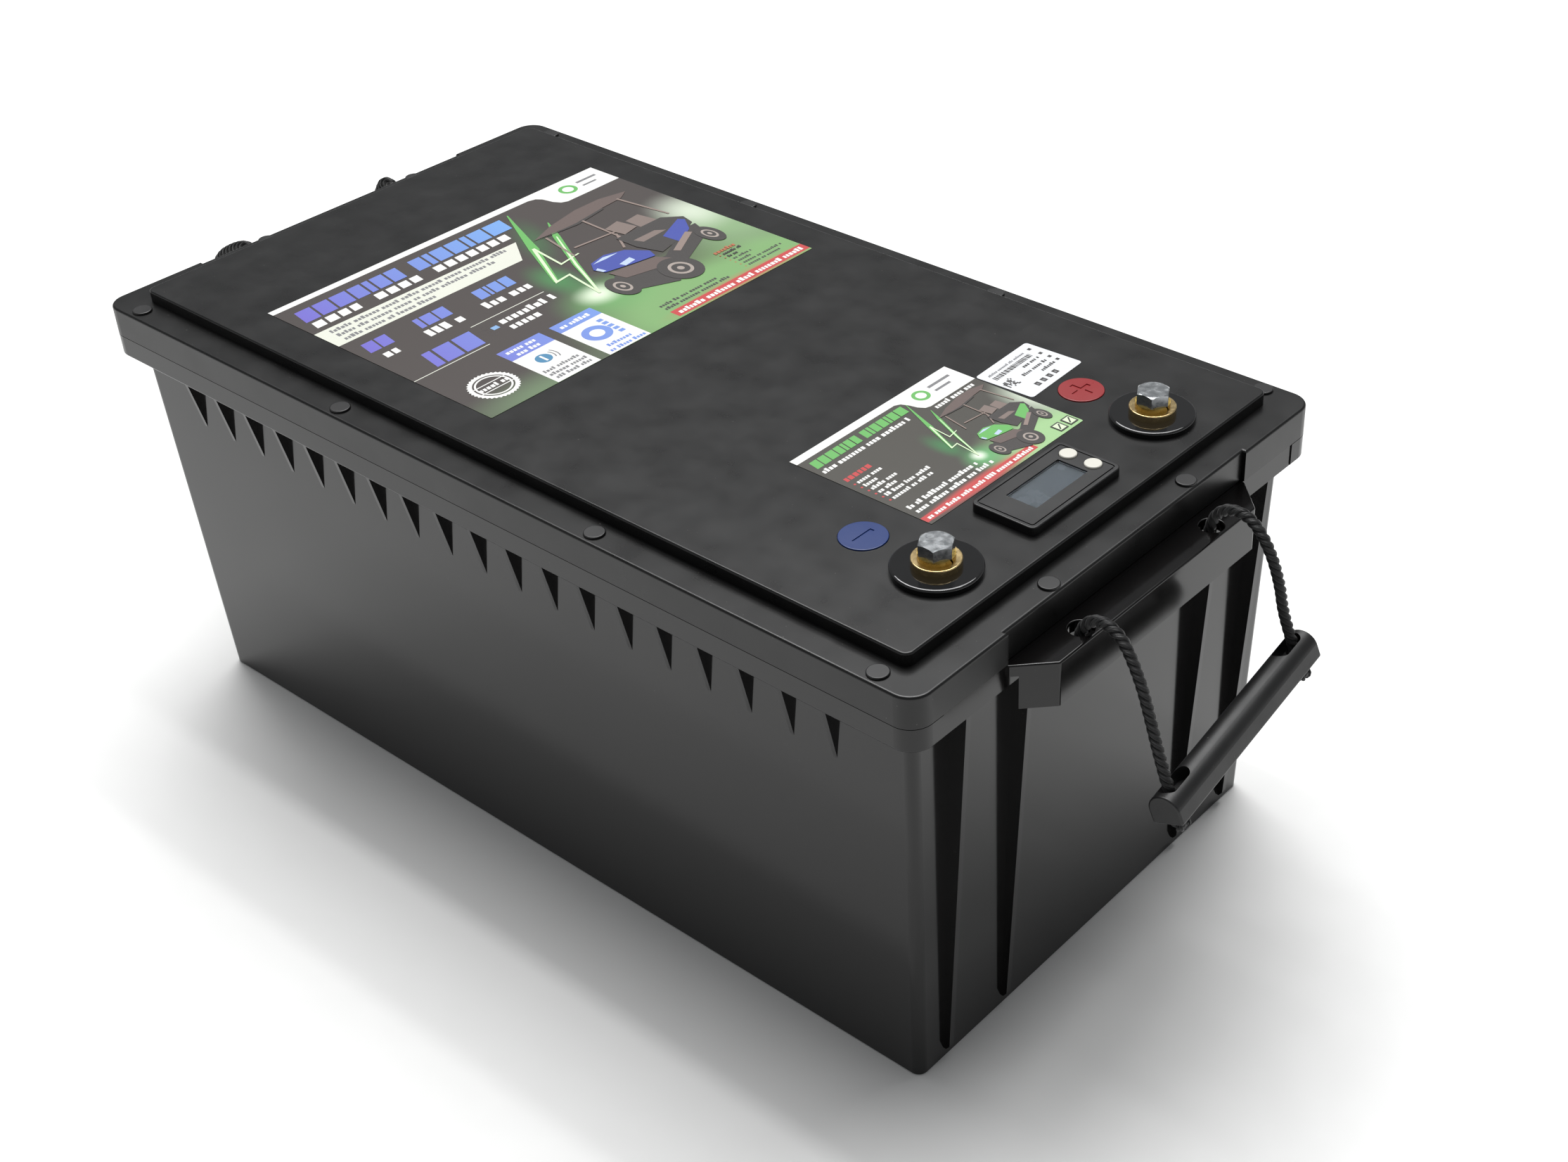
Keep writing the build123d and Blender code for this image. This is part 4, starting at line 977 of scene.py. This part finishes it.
@dataclass
class MainLabel:
    """The large printed label at the far end of the lid."""

    corner: Point = (-12.4, -99.4)
    top: float = LABEL_TOP

    def build(self, inks: dict[str, bpy.types.Material]) -> None:
        """Dresses the label and prints on it."""
        glows = (
            Glow((165.0, -5.0), (110.0, 60.0), "#78a465", 1.0, turn_deg=-14.0, inner=0.55),
            Glow((205.0, 55.0), (50.0, 42.0), "#86a878", 0.95, inner=0.25),
            Glow((196.0, 76.0), (24.0, 30.0), "#dfe8d6", 0.75),
            Glow((108.0, 42.0), (34.0, 26.0), "#6aa860", 0.8),
            Glow((106.0, 47.0), (15.0, 13.0), "#e8f4dc", 0.9),
            Glow((104.0, 72.0), (14.0, 26.0), "#3f9a4d", 0.6),
            Glow((125.0, 112.0), (12.0, 34.0), "#2f7d3c", 0.4, turn_deg=-24.0),
            Glow((30.0, 0.0), (60.0, 22.0), "#6d8a62", 0.7),
            Glow((160.0, 4.0), (62.0, 8.0), "#c8433f", 0.7),
            Glow((150.0, 40.0), (46.0, 16.0), "#453a34", 0.55, turn_deg=-20.0),
        )
        dress("main_label", PrintedGround("Printed_vinyl_main", "#3a322f", glows, self.corner).build())
        page = Printing("main_print", self.corner, self.top)
        header = [(0, 153.6), (0, 149.6), (154, 148.6), (158, 147.3), (160, 144.5), (161.3, 138), (163.3, 134.2)]
        header += [(166.5, 132.6), (201.6, 132.6), (201.6, 153.6)]
        page.shape("white", header)
        page.ring("leaf", (176.0, 143.0), 5.0, 3.0)
        page.bar("grey", (184.0, 144.6), (197.0, 146.4))
        page.bar("grey", (184.0, 139.8), (193.0, 141.2))
        row = (8.4, 8.4, 9.2, 7.2, 3.4, 7.2, 7.2, -5, 7.2, 3.4, 8, 8.4, 3.4, 8.8, 11.5)
        page.heavy_blocks("title", (5, 131.5), 12.0, row)
        row = (5.6, -0.4, 5.6, -0.4, 5.0, -0.4, 4.6, -8.4, 5.4, -0.4, 5.4, -0.4, 5.2, -0.4, 5.0, -8.0)
        row += (5.2, -0.4, 5.2, -0.4, 5, -0.4, 5, -0.4, 5, -0.4, 5, -0.4, 5.4)
        page.heavy_blocks("white", (5, 123.3), 6.0, row)
        page.shape("cream", [(0, 119.6), (119, 118.4), (108, 101.2), (0, 101.9)])
        for i, (v, width) in enumerate(((114.3, 104), (109.3, 94), (104.2, 53))):
            page.small_print("grey", (6, v), 3.0, width, 10 + i)
        page.heavy_blocks("title", (5, 85.5), 9.6, (6.2, 6.2))
        page.heavy_blocks("title", (34, 85.5), 9.6, (3, 6.4, 6.6))
        page.heavy_blocks("title", (69, 85.5), 9.6, (5.6, 1.6, 5.6, 5.6))
        for u, width, seed in ((7, 10.5, 20), (31.5, 22.5, 21), (65, 30.5, 22)):
            page.small_print("white", (u, 76.4), 6.4, width, seed)
        page.bar("cream", (48, 68.6), (92, 69.1))
        page.bar("cream", (0, 49.9), (43, 50.4))
        page.heavy_blocks("title", (15, 52.3), 14.5, (4.6, 9.6, 10.4))
        page.bar("sky", (46.4, 58.4), (56.4, 61.4))
        page.bar("sky", (49.8, 55.0), (52.8, 58.4))
        page.bar("sky", (49.8, 61.4), (52.8, 64.8))
        page.small_print("white", (59, 59.6), 5.4, 33, 23)
        page.small_print("white", (59, 52.2), 5.4, 21, 24)
        self.boxes(page)
        page.ring("white", (19.3, 20.6), 11.8, 9.3, teeth=36)
        page.ring("white", (19.3, 20.6), 8.5, 7.6)
        page.bar("white", (9.6, 17.4), (28.6, 18.0), lean=0.3)
        page.bar("white", (9.6, 23.4), (28.6, 24.0), lean=0.3)
        page.small_print("white", (11.0, 19.2), 3.2, 17, 25)
        lightning(page, (107.2, 47.0), 1.0, 1.0)
        cart(page, (111.0, 24.0), 1.0, "blue")
        page.bar("red", (113.5, 1.4), (201.6, 7.8))
        page.small_print("white", (116, 2.9), 3.4, 83, 26)
        page.small_print("orange", (168, 31.4), 3.0, 15.5, 27)
        for i, width in enumerate((13, 7, 13, 10, 27, 23)):
            page.small_print("dark", (170.5, 28.3 - 3.35 * i), 2.0, width, 30 + i)
            page.bar("orange", (168.2, 28.7 - 3.35 * i), (169.0, 29.5 - 3.35 * i))
        page.small_print("dark", (114, 13.9), 2.4, 39, 40)
        page.small_print("dark", (114, 10.2), 2.4, 44, 41)
        page.build(inks, "label_dark")

    def boxes(self, page: Printing) -> None:
        """Prints the two white boxes with their coloured heads."""
        page.bar("white", (38.2, 0.2), (63.4, 40.6))
        page.bar("title", (38.2, 30.0), (63.4, 40.6))
        page.small_print("white", (41, 36.0), 2.9, 19, 50)
        page.small_print("white", (43.5, 31.6), 2.9, 14, 51)
        page.ring("teal", (48.8, 21.2), 4.0)
        page.bar("white", (48.2, 18.4), (49.4, 24.0))
        for reach in (5.6, 7.4):
            arc = [(-0.55 + 1.1 * i / 8) for i in range(9)]
            points = [(48.8 + reach * math.cos(a), 21.2 + reach * math.sin(a)) for a in arc]
            page.stroke("grey", points, [0.6] * len(points))
        for i, (u, width) in enumerate(((40, 22), (40, 22), (40.5, 21))):
            page.small_print("grey", (u, 10.4 - 3.8 * i), 2.5, width, 52 + i)
        page.bar("white", (69.0, 0.2), (94.0, 40.2))
        page.bar("title", (69.0, 32.0), (94.0, 40.2))
        page.small_print("white", (72, 34.6), 3.0, 19, 55)
        page.ring("title", (79.4, 19.6), 7.2, 3.6)
        for i in range(5):
            page.bar("title", (86.8, 11.8 + 3.6 * i), (89.8, 14.2 + 3.6 * i))
        page.small_print("title", (74, 6.0), 2.6, 16, 56)
        page.small_print("title", (71.5, 1.6), 2.6, 21, 57)


@dataclass
class SafetyLabel:
    """The smaller printed label beside the meter."""

    corner: Point = (185.0, -48.4)
    top: float = LABEL_TOP

    def build(self, inks: dict[str, bpy.types.Material]) -> None:
        """Dresses the label and prints on it."""
        glows = (
            Glow((90.0, -2.0), (52.0, 30.0), "#9cc48a", 1.0, turn_deg=-16.0, inner=0.4),
            Glow((104.0, 30.0), (18.0, 24.0), "#dbe7d2", 0.9),
            Glow((52.0, 15.0), (13.0, 11.0), "#5fae6a", 0.9),
            Glow((51.0, 17.0), (5.0, 5.0), "#f0f7e8", 0.9),
            Glow((48.0, 32.0), (7.0, 16.0), "#2f8f4a", 0.55),
            Glow((36.0, 3.8), (44.0, 5.2), "#c94441", 0.9, inner=0.3),
        )
        dress("safety_label", PrintedGround("Printed_vinyl_safety", "#3d3a33", glows, self.corner).build())
        page = Printing("safety_print", self.corner, self.top)
        header = [(0, 74.6), (0, 70.4), (60.5, 70.0), (63, 68.6), (64.6, 65), (65.4, 61.4), (67.2, 58.4), (69.8, 57.5)]
        page.shape("white", header + [(99.6, 57.5), (99.6, 74.6)])
        page.ring("leaf", (74.0, 66.5), 4.2, 2.5)
        page.bar("grey", (81.0, 67.6), (95.0, 69.2))
        page.bar("grey", (81.0, 63.6), (91.0, 65.0))
        page.heavy_blocks("leaf", (3, 61.7), 5.8, (4, 4, 4.4, 3.4, 1.7, 3.4, 3.4, -1.6, 3.4, 1.7, 3.6, 4, 1.7, 4, 5))
        page.small_print("white", (2.2, 57.0), 3.0, 55, 60)
        page.small_print("white", (70, 54.0), 2.8, 28, 61)
        page.small_print("red", (3, 45.8), 3.8, 18, 62)
        for i, width in enumerate((15.5, 7.5, 15.5, 12.5, 28.5, 24.5)):
            v = 41.4 - 3.7 * i
            page.small_print("white", (5, v), 2.3, width, 63 + i)
            page.ring("red", (3.5, v + 1.0), 0.55)
        page.small_print("white", (3, 13.2), 2.7, 44, 70)
        page.small_print("white", (3, 9.0), 2.7, 48, 71)
        page.bar("red", (0.2, 1.8), (71.0, 5.9))
        page.small_print("white", (2.4, 2.7), 2.3, 67, 72)
        lightning(page, (51.0, 17.0), 0.44, 0.51)
        cart(page, (56.5, 3.4), 0.51, "leaf")
        for u in (86.6, 93.4):
            page.bar("dark", (u, 1.6), (u + 5.2, 7.6))
            page.bar("pale", (u + 0.7, 2.3), (u + 4.5, 6.9))
            page.stroke("dark", [(u + 1.2, 2.9), (u + 4.0, 6.3)], (0.7, 0.7))
        page.build(inks, "label_dark")


@dataclass
class SerialLabel:
    """The small white label with rows of grey marks, stuck on slightly crooked."""

    centre: Point = (141.2, 71.6)
    size: Point = (30.0, 38.0)
    turn_deg: float = 2.6
    top: float = LABEL_TOP

    def build(self, inks: dict[str, bpy.types.Material], paper: bpy.types.Material) -> None:
        """Dresses the label and prints on it."""
        dress("serial_label", paper)
        corner = (self.centre[0] + self.size[0] / 2, self.centre[1] - self.size[1] / 2)
        page = Printing("serial_print", corner, self.top, self.turn_deg, self.centre)
        draw = random.Random(80)
        u = 3.2
        while u < 30.0:
            wide = draw.uniform(0.35, 1.1)
            page.bar("dark", (u, 20.6), (u + wide, 23.4))
            u += wide + draw.uniform(0.25, 0.6)
        for i in range(8):
            for j in range(8):
                if draw.random() < 0.55:
                    page.bar("dark", (1.4 + 0.85 * i, 11.4 + 0.85 * j), (2.2 + 0.85 * i, 12.2 + 0.85 * j))
        page.small_print("grey", (3.4, 24.8), 1.5, 27, 81)
        for i, (start, v, width) in enumerate(((19, 17.4, 11.5), (13, 13.2, 18), (21.5, 9.2, 9.5))):
            page.small_print("dark", (start, v), 2.0, width, 82 + i)
        for v in (24.4, 18.4, 13.6, 9.4):
            page.bar("dark", (33.0, v), (34.8, v + 1.7))
        for i in range(4):
            page.bar("dark", (9.8 + 4.4 * i, 3.4), (12.4 + 4.4 * i, 6.4))
            page.bar("grey", (10.4 + 4.4 * i, 4.1), (11.6 + 4.4 * i, 5.4))
        page.build(inks, "label_white")


# ---- the rest of the battery ----


@dataclass
class Enclosure:
    """The case, the lid and what closes them."""

    def build(self) -> None:
        """Dresses every part of the enclosure."""
        zinc = ZINC.build()
        for node, material in (
            ("case", CASE_ABS.build()),
            ("lid", LID_ABS.build()),
            ("lid_seal", SILICONE.build()),
            ("lid_screws", zinc),
            ("screw_caps", CAP_PE.build()),
            ("bms_screws", zinc),
            ("busbar_nuts", zinc),
        ):
            dress(node, material)


@dataclass
class Terminals:
    """Both terminals, with their bosses, washers, bolts and polarity discs."""

    x: float = 206.0
    y: float = 71.0

    def build(self) -> None:
        """Dresses the terminals."""
        boss, bolt, washer = BOSS_NYLON.build(), ZINC.build(), YELLOW_ZINC.build()
        for sign, side, disc in (("minus", -1, BLUE_DISC), ("plus", 1, RED_DISC)):
            brass = WorkedMetal(f"Turned_brass_{sign}", "#dcc08a", "#e2c996", 0.2, (self.x, side * self.y), depth=0.002)
            dress(f"terminal_boss_{sign}", boss)
            dress(f"terminal_{sign}", brass.build())
            dress(f"spring_washer_{sign}", washer)
            dress(f"bolt_{sign}", bolt)
            dress(f"polarity_disc_{sign}", disc.build())
        dress("terminal_nuts", PLAIN_BRASS.build())
        dress("terminal_seals", SILICONE.build())


@dataclass
class ChargeMeter:
    """The meter in the lid, with its window and buttons."""

    def build(self) -> None:
        """Dresses the meter."""
        button = BUTTON_ABS.build()
        for node, material in (
            ("meter_bezel", METER_ABS.build()),
            ("meter_window", ClearAcrylic("Clear_acrylic").build()),
            ("meter_display", DISPLAY.build()),
            ("meter_board", BOARD.build()),
            ("meter_button_inner", button),
            ("meter_button_outer", button),
            ("meter_cable", LOOM.build()),
        ):
            dress(node, material)


@dataclass
class CellPack:
    """The cells and all that joins, clamps and watches them."""

    def build(self) -> None:
        """Dresses the inside."""
        film, sheet, black = CELL_FILM.build(), SHEET.build(), BLACK_CABLE.build()
        for node, material in (
            ("cell_row_minus", film),
            ("cell_row_plus", film),
            ("cell_spacers", sheet),
            ("base_pads", FOAM.build()),
            ("end_plates", ALUMINIUM.build()),
            ("compression_bands", STAINLESS.build()),
            ("busbars", COPPER.build()),
            ("bms_tray", sheet),
            ("bms_board", BOARD.build()),
            ("bms_heatsink", BLACK_ALUMINIUM.build()),
            ("lead_lugs", TINNED.build()),
            ("lead_cell_minus", black),
            ("lead_minus", black),
            ("lead_plus", RED_CABLE.build()),
            ("sense_harness", LOOM.build()),
        ):
            dress(node, material)


def printing_inks() -> dict[str, bpy.types.Material]:
    """Makes every ink that the labels are printed with."""
    colours = {
        "white": "#e9e9e6",
        "cream": "#dfe1d4",
        "grey": "#77777a",
        "dark": "#2b2826",
        "red": "#c02f30",
        "orange": "#b0603a",
        "sky": "#7fa9d8",
        "leaf": "#5fb054",
        "pale": "#d9efc6",
        "teal": "#3a7fa8",
        "blue": "#2b3fa0",
        "tyre": "#2b2523",
        "rim": "#a3978f",
        "roof": "#5d4c47",
        "post": "#8a7870",
        "seat": "#7a6a63",
        "shine": "#b9cbe6",
    }
    inks = {name: Ink(f"Ink_{name}", code).build() for name, code in colours.items()}
    inks["title"] = Ink("Ink_title", "#6a5fc0", "#6f9fdc", (-0.095, 0.03)).build()
    return inks


def main() -> None:
    """Builds the battery's looks in order."""
    logging.basicConfig(level=logging.INFO, format="%(name)s: %(message)s")
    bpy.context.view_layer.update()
    studio = Studio()
    studio.camera()
    yarn, grip = YARN.build(), GRIP_PE.build()
    for end in End:
        RopeHandle(end, yarn, grip).build()
    studio.floor()
    studio.lights()
    Enclosure().build()
    Terminals().build()
    ChargeMeter().build()
    CellPack().build()
    inks = printing_inks()
    MainLabel().build(inks)
    SafetyLabel().build(inks)
    SerialLabel().build(inks, Ink("White_polyester", "#e3e5e8").build())


if __name__ == "__main__":
    main()
